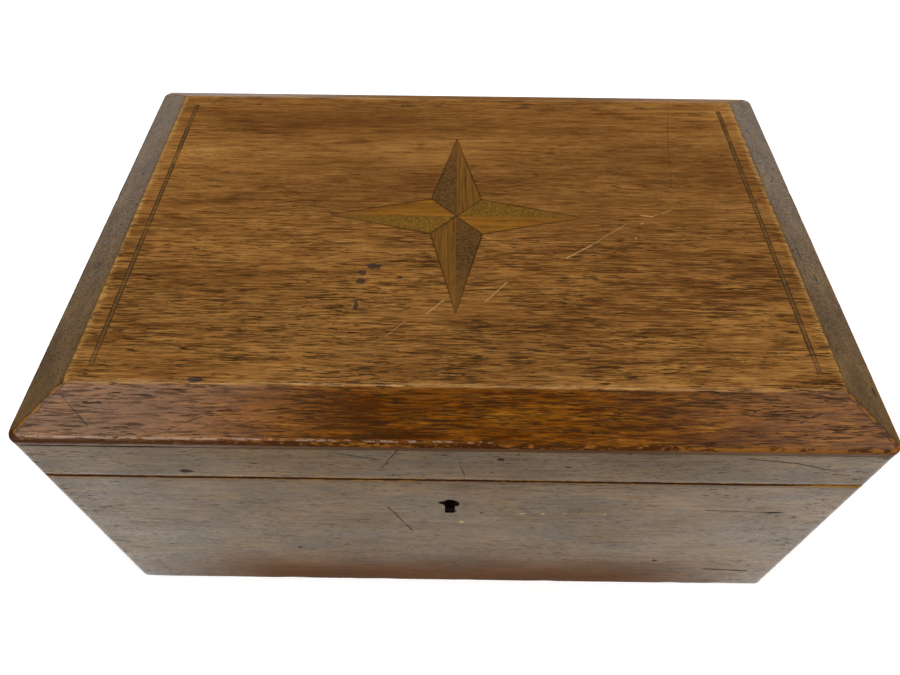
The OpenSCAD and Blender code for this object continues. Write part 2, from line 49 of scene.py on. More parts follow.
BOARD_LO, BOARD_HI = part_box("top_board")
HALF_W = BOARD_HI.x / MM
HALF_D = BOARD_HI.y / MM
TOP_Z = BOARD_HI.z / MM
BOARD_Z = BOARD_LO.z / MM
BODY_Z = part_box("front_edging")[1].z / MM
LID_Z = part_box("lid_front_edging")[0].z / MM
EDGING_T = BODY_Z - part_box("front_veneer")[1].z / MM
INNER_W = -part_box("left_wall")[1].x / MM
VENEER_T = HALF_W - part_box("front_wall")[1].x / MM
STRING_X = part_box("string_light_right")[1].x / MM
STRING_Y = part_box("string_light_back")[1].y / MM
STAR_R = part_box("star_east_back")[1].x / MM
STAR_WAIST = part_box("star_north_right")[1].x / MM
INLAY_T = (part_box("star_north_left")[1].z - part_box("star_north_left")[0].z) / MM
STRING_W = (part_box("string_dark_right")[1].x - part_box("string_dark_right")[0].x) / MM
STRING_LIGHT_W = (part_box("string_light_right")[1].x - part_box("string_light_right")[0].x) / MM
STRING_MID_X = STRING_X - STRING_LIGHT_W / 2
STRING_MID_Y = STRING_Y - STRING_LIGHT_W / 2
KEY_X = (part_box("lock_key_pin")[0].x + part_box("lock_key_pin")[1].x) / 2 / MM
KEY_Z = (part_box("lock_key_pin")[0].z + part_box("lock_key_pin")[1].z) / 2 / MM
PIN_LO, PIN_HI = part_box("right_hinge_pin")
PIVOT_Y = (PIN_LO.y + PIN_HI.y) / 2 / MM
PIVOT_Z = (PIN_LO.z + PIN_HI.z) / 2 / MM

# sizes in millimetres that no box gives
BEVEL_INSET = 17.7
BEVEL_RISE = 9.8
ARRIS_Z = TOP_Z - BEVEL_RISE
CORNER_R = 4.0
STOP_ANGLE = math.radians(49)
KEYHOLE_R = 2.7
KEYHOLE_SLOT = 3.9
KEYHOLE_FOOT = 9.4


# ---- small helpers

def wobble(x, y, z, size, seed=0.0):
    """Smooth noise of about -1 to 1 at a place in millimetres; size is its feature size."""
    return noise.noise(Vector((x / size + seed, y / size - seed, z / size + 2 * seed)))


def smooth_min(a, b, width):
    """The lower of two heights, blended where they are closer than width."""
    h = min(max(0.5 + 0.5 * (b - a) / width, 0.0), 1.0)
    return b * (1 - h) + a * h - width * h * (1 - h)


def steps(start, end, count):
    """count + 1 evenly spaced values from start to end."""
    return [start + (end - start) * i / count for i in range(count + 1)]


def link(name, data):
    """An object in the scene for a mesh, a lamp or a camera."""
    obj = bpy.data.objects.new(name, data)
    bpy.context.scene.collection.objects.link(obj)
    return obj


def mesh_from(name, verts_mm, faces):
    """A mesh whose points are given in millimetres."""
    mesh = bpy.data.meshes.new(name)
    mesh.from_pydata([[c * MM for c in v] for v in verts_mm], [], faces)
    return mesh


def new_object(name, verts_mm, faces, body, material, slot):
    """A mesh piece whose points are given in millimetres, riding on a body."""
    mesh = mesh_from(name, verts_mm, faces)
    mesh.validate()
    mesh.polygons.foreach_set("use_smooth", [True] * len(mesh.polygons))
    obj = link(name, mesh)
    mesh.materials.append(material)
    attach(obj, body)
    return obj


def fix_normals(obj):
    """Makes the faces point outwards and merges doubled points."""
    bm = bmesh.new()
    bm.from_mesh(obj.data)
    bmesh.ops.remove_doubles(bm, verts=bm.verts, dist=1e-7)
    bmesh.ops.recalc_face_normals(bm, faces=bm.faces)
    bm.to_mesh(obj.data)
    bm.free()


def sharpen(obj, angle):
    """Smooth shading, except at edges sharper than angle in degrees."""
    obj.data.polygons.foreach_set("use_smooth", [True] * len(obj.data.polygons))
    obj.data.set_sharp_from_angle(angle=math.radians(angle))


def cut_away(obj, cutters):
    """Takes closed cutter meshes, each (points in millimetres, faces), out of obj."""
    for verts, faces in cutters:
        mesh = mesh_from("cutter", verts, faces)
        cutter = link("cutter", mesh)
        fix_normals(cutter)
        modifier = obj.modifiers.new("cut", "BOOLEAN")
        modifier.operation = "DIFFERENCE"
        modifier.solver = "EXACT"
        modifier.object = cutter
        bpy.context.view_layer.update()
        result = bpy.data.meshes.new_from_object(obj.evaluated_get(bpy.context.evaluated_depsgraph_get()))
        obj.modifiers.clear()
        old = obj.data
        obj.data = result
        bpy.data.meshes.remove(old)
        bpy.data.objects.remove(cutter)
        bpy.data.meshes.remove(mesh)


def prism(outline, axis, low, high):
    """Closed prism over (u, v) points, which are (y, z), (x, z) or (x, y) for axis 0, 1 or 2."""
    verts = []
    for level in (low, high):
        for u, v in outline:
            verts.append({0: (level, u, v), 1: (u, level, v), 2: (u, v, level)}[axis])
    n = len(outline)
    faces = [list(range(n)), list(range(2 * n - 1, n - 1, -1))]
    faces += [[i, i + n, (i + 1) % n + n, (i + 1) % n] for i in range(n)]
    return verts, faces


def box_cutter(low, high):
    """Closed box between two corners in millimetres."""
    outline = [(low[1], low[2]), (high[1], low[2]), (high[1], high[2]), (low[1], high[2])]
    return prism(outline, 0, low[0], high[0])


# ---- node helpers

COAT_IOR = 1.5


class Graph:
    """Short ways to make a material's nodes. A value may be a number or another node's socket."""

    def __init__(self, name):
        self.material = bpy.data.materials.new(name)
        self.material.use_nodes = True
        self.tree = self.material.node_tree
        self.shader = self.tree.nodes["Principled BSDF"]
        coordinates = self.add("ShaderNodeTexCoord")
        self.place = self.vector("MULTIPLY", coordinates.outputs["Object"], (1000, 1000, 1000))
        split = self.add("ShaderNodeSeparateXYZ", Vector=self.place)
        self.x, self.y, self.z = split.outputs
        tremble = self.add("ShaderNodeTexNoise", Vector=self.place, Scale=0.22, Detail=2.0)
        self.shaken = self.vector("MULTIPLY_ADD", tremble.outputs["Color"], (0.8, 0.8, 0.8), self.place)
        self.shaken = self.vector("SUBTRACT", self.shaken, (0.4, 0.4, 0.4))

    def add(self, kind, settings=None, **inputs):
        node = self.tree.nodes.new(kind)
        for key, value in (settings or {}).items():
            setattr(node, key, value)
        for key, value in inputs.items():
            self.put(node.inputs[key], value)
        return node

    def put(self, socket, value):
        if isinstance(value, bpy.types.NodeSocket):
            self.tree.links.new(value, socket)
        else:
            socket.default_value = value

    def math(self, operation, *values, clamp=False):
        node = self.add("ShaderNodeMath", {"operation": operation, "use_clamp": clamp})
        for socket, value in zip(node.inputs, values):
            self.put(socket, value)
        return node.outputs[0]

    def vector(self, operation, *values):
        node = self.add("ShaderNodeVectorMath", {"operation": operation})
        for socket, value in zip(node.inputs, values):
            self.put(socket, value)
        return node.outputs["Value"] if operation in ("LENGTH", "DOT_PRODUCT") else node.outputs[0]

    def fold(self, operation, values):
        """One value from several, taken two at a time."""
        result = values[0]
        for value in values[1:]:
            result = self.math(operation, result, value)
        return result

    def times(self, *values):
        return self.fold("MULTIPLY", values)

    def plus(self, *values):
        return self.fold("ADD", values)

    def strongest(self, *values):
        return self.fold("MAXIMUM", values)

    def minus(self, first, second):
        return self.math("SUBTRACT", first, second)

    def absolute(self, value):
        return self.math("ABSOLUTE", value)

    def weighted(self, *parts):
        """The sum of (value, weight) parts."""
        return self.plus(*[self.times(value, weight) for value, weight in parts])

    def noise(self, scales, detail=2.0, roughness=0.5, distortion=0.0, shift=0.0):
        """Noise from 0 to 1. scales is cycles a millimetre, one number or three for X, Y and Z."""
        if isinstance(scales, float):
            scales = (scales, scales, scales)
        at = self.vector("MULTIPLY_ADD", self.place, scales, (shift, shift, shift))
        node = self.add("ShaderNodeTexNoise", Vector=at, Scale=1.0, Detail=detail,
                        Roughness=roughness, Distortion=distortion)
        return node.outputs["Fac"]

    def step(self, value, start, end, low=0.0, high=1.0):
        """Goes smoothly from low at start to high at end; start may be above end."""
        node = self.add("ShaderNodeMapRange", {"interpolation_type": "SMOOTHSTEP"}, Value=value)
        self.put(node.inputs["From Min"], start)
        self.put(node.inputs["From Max"], end)
        share = node.outputs["Result"]
        return share if (low, high) == (0.0, 1.0) else self.scale(share, low, high)

    def scale(self, value, low, high):
        """A value of 0 to 1 taken to low to high."""
        return self.math("MULTIPLY_ADD", value, high - low, low)

    def mix(self, share, first, second):
        node = self.add("ShaderNodeMix", {"data_type": "RGBA", "blend_type": "MIX"})
        self.put(node.inputs["Factor"], share)
        for socket, value in zip([s for s in node.inputs if s.type == "RGBA"], (first, second)):
            self.put(socket, (*value, 1.0) if isinstance(value, tuple) else value)
        return [s for s in node.outputs if s.type == "RGBA"][0]

    def paint(self, colour, tint, *masks):
        """The colour with a tint laid over it, as strongly as the product of the masks."""
        return self.mix(self.times(*masks), colour, tint)

    def ramp(self, value, stops):
        """Colours at positions from 0 to 1."""
        node = self.add("ShaderNodeValToRGB", Fac=value)
        elements = node.color_ramp.elements
        for position, colour in stops[2:]:
            elements.new(position)
        for element, (position, colour) in zip(elements, stops):
            element.position = position
            element.color = (*colour, 1.0)
        return node.outputs["Color"]

    def bump(self, height, distance_mm, strength=1.0, normal=None):
        node = self.add("ShaderNodeBump", Height=height, Strength=strength, Distance=distance_mm * MM)
        if normal is not None:
            self.put(node.inputs["Normal"], normal)
        return node.outputs["Normal"]

    def finish(self, colour, roughness, normal, coat=0.0, coat_roughness=0.2, metallic=0.0, specular=0.0,
               coat_normal=None):
        """Plugs everything into the shader; on polished wood only the coat is glossy."""
        shader = self.shader
        self.put(shader.inputs["Base Color"], colour)
        self.put(shader.inputs["Roughness"], roughness)
        shader.inputs["Metallic"].default_value = metallic
        shader.inputs["Specular IOR Level"].default_value = specular
        self.put(shader.inputs["Coat Weight"], coat)
        shader.inputs["Coat Roughness"].default_value = coat_roughness
        shader.inputs["Coat IOR"].default_value = COAT_IOR
        self.put(shader.inputs["Normal"], normal)
        self.put(shader.inputs["Coat Normal"], coat_normal or normal)
        return self.material


# ---- masks that several woods share

def segment_mask(g, start, end, width, fade=0.25):
    """1 on a thin line between two places in millimetres, fading at its sides."""
    along = Vector(end) - Vector(start)
    offset = g.vector("SUBTRACT", g.shaken, tuple(start))
    share = g.vector("DOT_PRODUCT", offset, tuple(along / along.length_squared))
    share = g.math("ADD", share, 0.0, clamp=True)
    nearest = g.vector("MULTIPLY", tuple(along), share)
    distance = g.vector("LENGTH", g.vector("SUBTRACT", offset, nearest))
    return g.step(distance, width / 2 + fade, width / 2)


def spot_mask(g, centre, radii, ragged=0.5):
    """1 inside an uneven spot about a place in millimetres."""
    offset = g.vector("DIVIDE", g.vector("SUBTRACT", g.place, tuple(centre)), tuple(radii))
    distance = g.vector("LENGTH", offset)
    uneven = g.noise(0.9, detail=2, shift=centre[0])
    return g.step(g.math("MULTIPLY_ADD", uneven, ragged, distance), 1.0 + ragged / 2, 0.7 + ragged / 2)


def broken(g, mask, size, share, shift=0.0):
    """A mask with gaps in it; share is about how much is left."""
    gaps = g.noise(1 / size, detail=2, shift=shift)
    return g.times(mask, g.step(gaps, 0.62 - 0.25 * share, 0.68 - 0.25 * share))


def edge_distances(g):
    """How far a place lies in from the nearer end, and from the nearer of front and back."""
    return g.minus(HALF_W, g.absolute(g.x)), g.minus(HALF_D, g.absolute(g.y))


def grain(g, long, across, detail=3.0, roughness=0.55, shift=0.0, distortion=0.0, axis=0):
    """Noise drawn out along the wood's fibres, which run along X (axis 0) or Y (axis 1)."""
    scales = [1 / across] * 3
    scales[axis] = 1 / long
    return g.noise(tuple(scales), detail, roughness, distortion, shift)


def side_grain(g, on_end, long, across, detail, roughness, shift, distortion, apart=2.0):
    """Grain along X on front and back and along Y on the ends, whose shift is apart from the others'."""
    return g.mix(on_end, grain(g, long, across, detail, roughness, shift, distortion, 0),
                 grain(g, long, across, detail, roughness, shift + apart, distortion, 1))


def end_wall(g):
    """1 on the pieces at the two ends, which run along Y."""
    return g.step(g.minus(g.absolute(g.x), INNER_W), -0.6, -0.1)


def pores(g, long, across, share, axis=0, shift=0.0, clusters=True):
    """Short dark pore dashes along the fibres, about 0 to 1."""
    dashes = grain(g, long, across, 2.0, 0.65, shift, 0.15, axis)
    edge = 0.66 - 0.16 * share
    mask = g.step(dashes, edge, edge + 0.06)
    if not clusters:
        return mask
    where = grain(g, long * 4, across * 14, 2.0, 0.5, shift + 9, 0.0, axis)
    return g.times(mask, g.step(where, 0.38, 0.58, 0.35, 1.0))


# ---- colours and marks

STRAW = (0.34, 0.18, 0.05)
STRAW_FLECK = (0.45, 0.27, 0.08)
WORN_ORANGE = (0.22, 0.085, 0.012)
GRIME = (0.018, 0.009, 0.005)
# near black: grime and painted shade in and round the keyhole
BLACK_GRIME_AND_SHADE = (0.01, 0.006, 0.004)
INK = (0.012, 0.012, 0.016)
# painted sheen at the ends of the front bevel
BEVEL_PAINTED_SHEEN = (0.3, 0.145, 0.05)
BROAD_DARKENING = (0.08, 0.028, 0.006)
FACE_PORE = (0.026, 0.013, 0.005)
LIT_GRAIN = (0.33, 0.16, 0.04)
END_DARK = (0.024, 0.014, 0.006)
END_PALE = (0.22, 0.13, 0.05)
HIP_DARK = (0.035, 0.014, 0.006)
ARRIS_DARK = (0.036, 0.012, 0.004)
ARRIS_CHIP = (0.17, 0.064, 0.01)
# painted highlight along the front arris
ARRIS_PAINTED_HIGHLIGHT = (0.34, 0.22, 0.15)
PALE_SCRATCH = (0.38, 0.235, 0.095)
DARK_SCRATCH = (0.04, 0.02, 0.012)
VENEER_STAIN = (0.056, 0.036, 0.014)
VENEER_PORE = (0.02, 0.012, 0.008)
VENEER_FLECK = (0.012, 0.009, 0.008)
RUBBED_CORNER = (0.2, 0.1, 0.035)
# painted shade along the foot of the veneers
FOOT_PAINTED_SHADE = (0.095, 0.032, 0.01)
JOINT_DARK = (0.02, 0.009, 0.004)
BARE_CORNER = (0.22, 0.17, 0.045)
SEAM_ORANGE = (0.2, 0.085, 0.015)
SEAM_BROWN = (0.075, 0.026, 0.006)
# painted glints at the seam, also the bare wood at its right-hand end
SEAM_GLINT_AND_BARE_WOOD = (0.27, 0.12, 0.018)
# painted shade in the gap at the seam
SEAM_PAINTED_SHADE = (0.022, 0.008, 0.003)
STAR_TIP = (0.125, 0.054, 0.013)
INNER_STAIN = (0.13, 0.07, 0.032)

# (start, end, width) of scratches, as (x, y) on the flat or (x, y, z) on the bevel
LIGHT_SCRATCHES = [
    ((-25.0, -63.6), (-18.0, -56.1), 0.15), ((-10.6, -52.6), (-4.3, -45.8), 0.35),
    ((11.0, -46.4), (19.1, -36.9), 0.35), ((43.4, -23.4), (53.7, -16.0), 0.5),
    ((53.7, -16.0), (69.4, -3.5), 0.2), ((75.0, 2.2), (80.9, 1.3), 0.6),
    ((80.9, 1.3), (89.5, 5.4), 0.25), ((75.6, -3.2), (76.8, -2.8), 0.5), ((71.4, -12.0), (72.4, -11.5), 0.5),
]
DARK_SCRATCHES = [
    ((102.6, 84.8), (96.6, 50.7), 0.3), ((96.6, 50.7), (92.4, 20.7), 0.25),
    ((32.6, -13.3), (34.2, -17.8), 0.4), ((-97.0, 63.0), (-91.0, 52.0), 0.25),
]
BEVEL_SCRATCHES = [
    ((-132.1, -88.7, 139.0), (-122.5, -97.5, 134.1), 0.35),
    ((-95.5, -98.1, 133.8), (-84.9, -94.3, 135.9), 0.35),
    ((115.6, -93.9, 136.1), (122.9, -90.9, 137.8), 0.7),
]
# (place, half sizes) of ink spots on the flat
INK_SPOTS = [
    ((-31.7, -29.1), (4.4, 2.4)), ((-36.0, -32.5), (2.4, 1.8)), ((-36.4, -37.0), (2.6, 2.3)),
    ((-36.7, -49.0), (1.4, 2.6)), ((-21.3, -34.7), (1.8, 1.2)), ((-88.0, -82.9), (3.6, 1.4)),
]
# (place, half sizes) of dark dents in the end bevels
END_MARKS = [
    ((141.5, -28.2, 136.2), (0.9, 3.4, 2.0)), ((137.0, -16.0, 138.7), (0.5, 6.0, 2.0)),
    ((137.9, 65.3, 138.2), (1.0, 2.6, 2.0)), ((147.0, -79.0, 133.2), (0.8, 2.6, 2.0)),
    ((-142.0, -25.0, 135.9), (0.5, 2.4, 2.0)), ((-139.0, 30.0, 137.6), (0.6, 2.0, 2.0)),
]
# (x, y, half width, half depth) of broad darker clouds on the board's flat
BROAD_SHADES = [
    (-48.0, 20.0, 70.0, 28.0), (78.0, 22.0, 74.0, 46.0), (-40.0, 65.0, 90.0, 16.0), (5.0, -66.0, 60.0, 22.0),
    (-90.0, -56.0, 62.0, 30.0),
]
# ((x, z), (x, z), width) of scratches and (x, z, half width, half height) of spots on the front
BODY_SCRATCHES = [
    ((-25.1, 83.2), (-16.3, 59.8), 0.35), ((116.7, 19.9), (136.2, 18.0), 1.4),
    ((98.0, 84.0), (124.5, 82.6), 0.35), ((-149.0, 46.6), (-139.4, 43.6), 0.4),
    ((-141.1, 38.9), (-133.0, 36.9), 0.4),
]
BODY_SPOTS = [(124.5, 82.6, 4.0, 1.0), (91.1, 29.7, 1.6, 1.2), (-66.3, 40.0, 1.2, 1.0)]
LID_SCRATCHES = [
    ((-39.8, 126.0), (-25.0, 121.3), 0.3), ((-17.8, 131.4), (-25.4, 115.4), 0.3),
    ((99.8, 125.8), (116.8, 123.4), 0.5), ((116.8, 123.4), (130.4, 118.5), 0.45),
    ((2.0, 121.0), (4.0, 110.0), 0.25),
]
LID_SPOTS = [(-95.2, 111.3, 3.0, 1.5), (16.0, 123.0, 1.6, 1.2), (40.0, 118.0, 1.4, 0.6)]


# ---- woods

def star_lines(g):
    """Dark lines round the star's four points and across its middle, 1 on a line."""
    ax = g.absolute(g.x)
    ay = g.absolute(g.y)
    near = g.math("MINIMUM", ax, ay)
    far = g.strongest(ax, ay)
    # the outer edge of a point runs from (waist, waist) to (0, star_r) in these folded coordinates
    run, rise = STAR_WAIST, STAR_R - STAR_WAIST
    length = math.hypot(run, rise)
    side = g.weighted((near, rise / length), (far, run / length))
    side = g.absolute(g.minus(side, STAR_R * run / length))
    cross = g.times(g.minus(far, near), math.sqrt(0.5))
    reach = g.step(far, STAR_WAIST + 0.4, STAR_WAIST)
    inside = g.step(far, STAR_R + 1.0, STAR_R - 0.5)
    width = g.scale(grain(g, 6, 6, 2.0), 0.02, 0.42)
    side_line = g.times(g.step(g.minus(side, width), 0.22, 0.0), inside)
    cross_line = g.times(g.step(g.minus(cross, width), 0.16, 0.0), reach)
    return g.strongest(side_line, cross_line)


def board_face(g, ey):
    """The streaked and pored face wood of the top board: (colour, pores, streaks, fine grain)."""
    figure = grain(g, 120, 26, 3.0, 0.55, 3.1, 0.6)
    patches = grain(g, 21, 5.5, 3.0, 0.6, 5.3, 0.8)
    streaks = grain(g, 30, 1.5, 4.0, 0.62, 7.7, 0.4)
    fine = grain(g, 6, 0.55, 3.0, 0.65, 1.3, 0.1)
    tone = g.weighted((figure, 0.3), (patches, 0.27), (streaks, 0.26), (fine, 0.17))
    face = g.ramp(tone, [(0.38, (0.056, 0.019, 0.005)), (0.45, (0.13, 0.051, 0.012)),
                         (0.53, (0.226, 0.1, 0.023)), (0.6, (0.325, 0.156, 0.04))])
    # painted shade: the front bevel takes a darker, more red copy of the face, as it tilts away from the
    # light overhead
    shaded_bevel_face = g.ramp(tone, [(0.38, (0.027, 0.007, 0.001)), (0.46, (0.06, 0.015, 0.001)),
                           (0.54, (0.145, 0.046, 0.003)), (0.61, (0.26, 0.105, 0.01))])
    on_front = g.times(g.step(ey, BEVEL_INSET, BEVEL_INSET - 1.0), g.step(g.y, 0.0, -1.0))
    face = g.mix(on_front, face, shaded_bevel_face)
    # painted sheen: paler towards both ends of the front bevel, more at the left, where the lamps reflect
    painted_sheen = g.plus(g.step(g.x, -20.0, -120.0, 0.0, 0.3), g.step(g.x, 60.0, 130.0, 0.0, 0.14))
    face = g.paint(face, BEVEL_PAINTED_SHEEN, on_front, painted_sheen)
    for x, y, rx, ry in BROAD_SHADES:
        offset = g.vector("DIVIDE", g.vector("SUBTRACT", g.place, (x, y, TOP_Z)), (rx, ry, 60.0))
        uneven = g.plus(g.vector("LENGTH", offset), g.scale(patches, 0.7, -0.7))
        face = g.mix(g.step(uneven, 1.2, 0.4, 0.0, 0.48), face, BROAD_DARKENING)
    # the pores are more open towards the front
    nearness = g.step(g.y, 80.0, -60.0)
    pore = pores(g, 6.5, 0.5, 0.7, shift=2.2)
    long_pore = pores(g, 13.0, 0.8, 0.48, shift=5.9)
    short_pore = g.times(pores(g, 9.0, 0.62, 0.8, shift=12.4), g.scale(nearness, 0.25, 0.85))
    pore = g.strongest(pore, g.times(long_pore, 0.8), short_pore)
    face = g.mix(g.times(pore, g.scale(nearness, 0.5, 1.0)), face, FACE_PORE)
    lit_grain = g.step(grain(g, 16, 0.8, 3.0, 0.6, 17.0), 0.5, 0.66)
    lit_grain = g.times(lit_grain, g.scale(nearness, 0.1, 0.5), g.scale(on_front, 1.0, 0.25))
    face = g.paint(face, LIT_GRAIN, lit_grain, g.scale(pore, 1.0, 0.0))
    return face, pore, streaks, fine


def end_grain(g):
    """The dull wood of the end bevels: (colour, speckle)."""
    speckle = g.noise(1.4, detail=3, roughness=0.7, shift=4.0)
    cloud = g.noise((0.1, 0.05, 0.1), detail=4, roughness=0.6, shift=8.0)
    colour = g.ramp(cloud, [(0.3, (0.06, 0.032, 0.01)), (0.5, (0.088, 0.049, 0.016)),
                            (0.7, (0.122, 0.068, 0.022))])
    colour = g.paint(colour, END_DARK, g.step(speckle, 0.52, 0.64), 0.7)
    colour = g.paint(colour, END_PALE, g.step(speckle, 0.38, 0.28), 0.35)
    for place, radii in END_MARKS:
        colour = g.paint(colour, GRIME, spot_mask(g, place, radii, 0.8), 0.8)
    return colour, speckle


def lower_edge(g, colour, ey, patch):
    """Paints the board's upright edge, its worn arris and a painted highlight above it: (colour, where the
    arris is worn).
    """
    below = g.minus(ARRIS_Z, g.z)
    bruised = g.noise(0.1, detail=3, roughness=0.6, shift=27.0)
    edge_top = g.scale(bruised, 0.1, -1.1)
    under = g.times(g.step(g.minus(below, edge_top), -0.1, 0.15), g.step(below, 1.3, 0.7))
    drawn = g.noise((0.3, 0.3, 1.2), detail=3, roughness=0.7, shift=31.0)
    to_right = g.step(g.x, -60.0, 120.0, -0.04, 0.06)
    chipped = g.plus(g.times(drawn, 0.6), g.math("MULTIPLY_ADD", patch, 0.4, to_right))
    colour = g.paint(colour, ARRIS_DARK, under, 0.85)
    colour = g.paint(colour, ARRIS_CHIP, under, g.step(chipped, 0.5, 0.57))
    # a painted highlight: a pale line just above the front arris, left of the middle, where the rounded edge
    # catches the light
    above = g.times(g.step(below, -1.0, -0.85), g.step(below, -0.5, -0.62),
                    g.step(g.math("MULTIPLY_ADD", g.x, 0.0008, drawn), 0.5, 0.4),
                    g.times(g.step(g.x, 40.0, -10.0), g.step(ey, 3.0, 2.0)), g.step(g.y, 0.0, -1.0))
    colour = g.paint(colour, ARRIS_PAINTED_HIGHLIGHT, above, 0.5)
    edge_grain = grain(g, 60, 1.4, 4.0, 0.6, 9.0)
    edge_colour = g.ramp(edge_grain, [(0.3, (0.055, 0.026, 0.012)), (0.7, (0.115, 0.058, 0.026))])
    colour = g.paint(colour, edge_colour, g.step(below, 0.7, 1.2), g.minus(1.0, under))
    return colour, under


def board_marks(g, colour):
    """Lines round the star, scratches and ink, painted over the board."""
    on_top = g.step(g.z, TOP_Z - 2.0, TOP_Z - 1.5)
    colour = g.paint(colour, GRIME, star_lines(g), on_top, 0.6)
    for start, end, width in LIGHT_SCRATCHES:
        mark = segment_mask(g, (*start, TOP_Z), (*end, TOP_Z), 0.6 * width)
        colour = g.paint(colour, PALE_SCRATCH, broken(g, mark, 5.0, 1.1, start[0]), 0.25 + width)
    for start, end, width in DARK_SCRATCHES:
        mark = segment_mask(g, (*start, TOP_Z), (*end, TOP_Z), width)
        colour = g.paint(colour, DARK_SCRATCH, mark, 0.35)
    for start, end, width in BEVEL_SCRATCHES:
        colour = g.paint(colour, GRIME, segment_mask(g, start, end, width), 0.75)
    for (x, y), (rx, ry) in INK_SPOTS:
        spot = spot_mask(g, (x, y, TOP_Z), (0.8 * rx, 0.8 * ry, 3.0), 1.3)
        colour = g.paint(colour, INK, spot, 0.75)
    return colour


def board_material():
    """The solid top board: streaked face, end grain on its short sides, worn edges and old marks."""
    g = Graph("board_mahogany")
    ex, ey = edge_distances(g)
    inset = g.math("MINIMUM", ex, ey)
    on_flat = g.step(inset, BEVEL_INSET - 0.3, BEVEL_INSET + 0.3)
    on_end = g.times(g.step(g.minus(ey, ex), -0.15, 0.15), g.minus(1.0, on_flat))
    face, pore, streaks, fine = board_face(g, ey)
    end, speckle = end_grain(g)
    colour = g.mix(on_end, face, end)

    # straw along the edges of the flat
    ragged = g.noise(0.35, detail=3, roughness=0.65, shift=6.0)
    patch = g.noise(0.035, detail=2, shift=2.0)
    side_edge = g.step(g.minus(ey, ex), -1.0, 1.0)
    rim_width = g.times(ragged, patch, g.scale(side_edge, 4.5, 7.5))
    from_arris = g.minus(inset, BEVEL_INSET - 0.1)
    straw = g.times(g.step(g.minus(from_arris, rim_width), 0.8, -1.8), g.step(from_arris, -0.35, 0.1))
    straw = g.times(straw, g.scale(pore, 1.0, 0.25), g.step(streaks, 0.42, 0.6, 0.25, 1.0))
    colour = g.mix(straw, colour, STRAW)

    # a dark line down the hips, worn through to orange in places
    hip = g.times(g.absolute(g.minus(ex, ey)), math.sqrt(0.5))
    hip = g.plus(hip, g.times(on_flat, 50.0))
    hip_ragged = g.math("MULTIPLY_ADD", ragged, -2.6, hip)
    colour = g.paint(colour, HIP_DARK, g.step(hip_ragged, 0.2, -0.6), 0.6)
    worn_hip = g.times(g.step(hip_ragged, -0.6, -1.0), g.step(ragged, 0.44, 0.56))
    colour = g.paint(colour, WORN_ORANGE, worn_hip, g.scale(patch, 0.3, 1.2))
    colour, under = lower_edge(g, colour, ey, patch)
    colour = board_marks(g, colour)

    fine_bump = g.bump(g.minus(g.times(fine, 0.25), g.times(pore, 0.8)), 0.06, 0.7)
    roughness = g.mix(straw, g.scale(streaks, 0.34, 0.52), (0.62, 0.62, 0.62))
    ripple = g.bump(g.noise((0.03, 0.12, 0.12), detail=2, shift=5.0), 0.5, 0.5)
    worn = g.strongest(under, worn_hip, straw)
    # the polish of the front bevel is best kept at its left end
    left_polish = g.step(g.x, -20.0, -110.0, 0.03, 0.46)
    front_gloss = g.math("MULTIPLY_ADD", g.step(g.x, 30.0, 130.0), 0.17, left_polish)
    front_gloss = g.times(front_gloss, g.scale(pore, 1.0, 0.2))
    end_gloss = g.times(g.step(speckle, 0.64, 0.42), g.step(g.y, -110.0, 60.0, 0.12, 0.66))
    gloss = g.mix(on_flat, g.mix(on_end, front_gloss, end_gloss), (0.12, 0.12, 0.12))
    gloss = g.strongest(g.times(gloss, g.scale(worn, 1.0, 0.3)), g.times(straw, 0.5))
    return g.finish(colour, roughness, fine_bump, coat=gloss, coat_roughness=0.24, coat_normal=ripple)


def veneer_material(name, level):
    """Polished mahogany on the upright faces. level is 0 on the body and 1 on the lid."""
    g = Graph(name)
    on_side = g.step(g.minus(g.absolute(g.x), HALF_W), -1.4, -1.0)
    streaks = side_grain(g, on_side, 26, 2.0, 4.0, 0.62, 4.0 + level, 0.5)
    cloud = g.noise((0.014, 0.014, 0.035), detail=4, roughness=0.6, shift=2.0 + 3 * level)
    tone = g.weighted((streaks, 0.5), (cloud, 0.5))
    colour = g.ramp(tone, [(0.34, (0.06, 0.032, 0.009)), (0.5, (0.104, 0.055, 0.013)),
                           (0.64, (0.155, 0.082, 0.02))])
    stain = g.step(g.noise((0.035, 0.035, 0.07), detail=3, shift=21.0 + level), 0.5, 0.66)
    colour = g.paint(colour, VENEER_STAIN, stain, 0.55)
    pore_x, pore_y = [pores(g, 4.0, 0.42, 0.5, axis, 3.0 + 2 * axis + level) for axis in (0, 1)]
    pore = g.mix(on_side, pore_x, pore_y)
    colour = g.paint(colour, VENEER_PORE, pore, 0.7)

    # rubbed corners, and small dark dents and flecks
    ragged = g.noise((0.4, 0.4, 0.12), detail=3, roughness=0.65, shift=1.0 + level)
    rubbed = g.step(g.math("MULTIPLY_ADD", ragged, -3.4, g.strongest(*edge_distances(g))), 0.5, -0.5)
    colour = g.paint(colour, RUBBED_CORNER, rubbed, 0.7)
    flecks = g.noise((0.2, 0.2, 0.75), detail=3, roughness=0.8, shift=7.0 + level)
    ends = g.step(g.absolute(g.x), 118.0, 146.0, 0.0, 0.045)
    fleck = g.step(g.plus(flecks, ends), 0.645, 0.7)
    colour = g.paint(colour, VENEER_FLECK, fleck, 0.7)
    return g, colour, pore, fleck, streaks


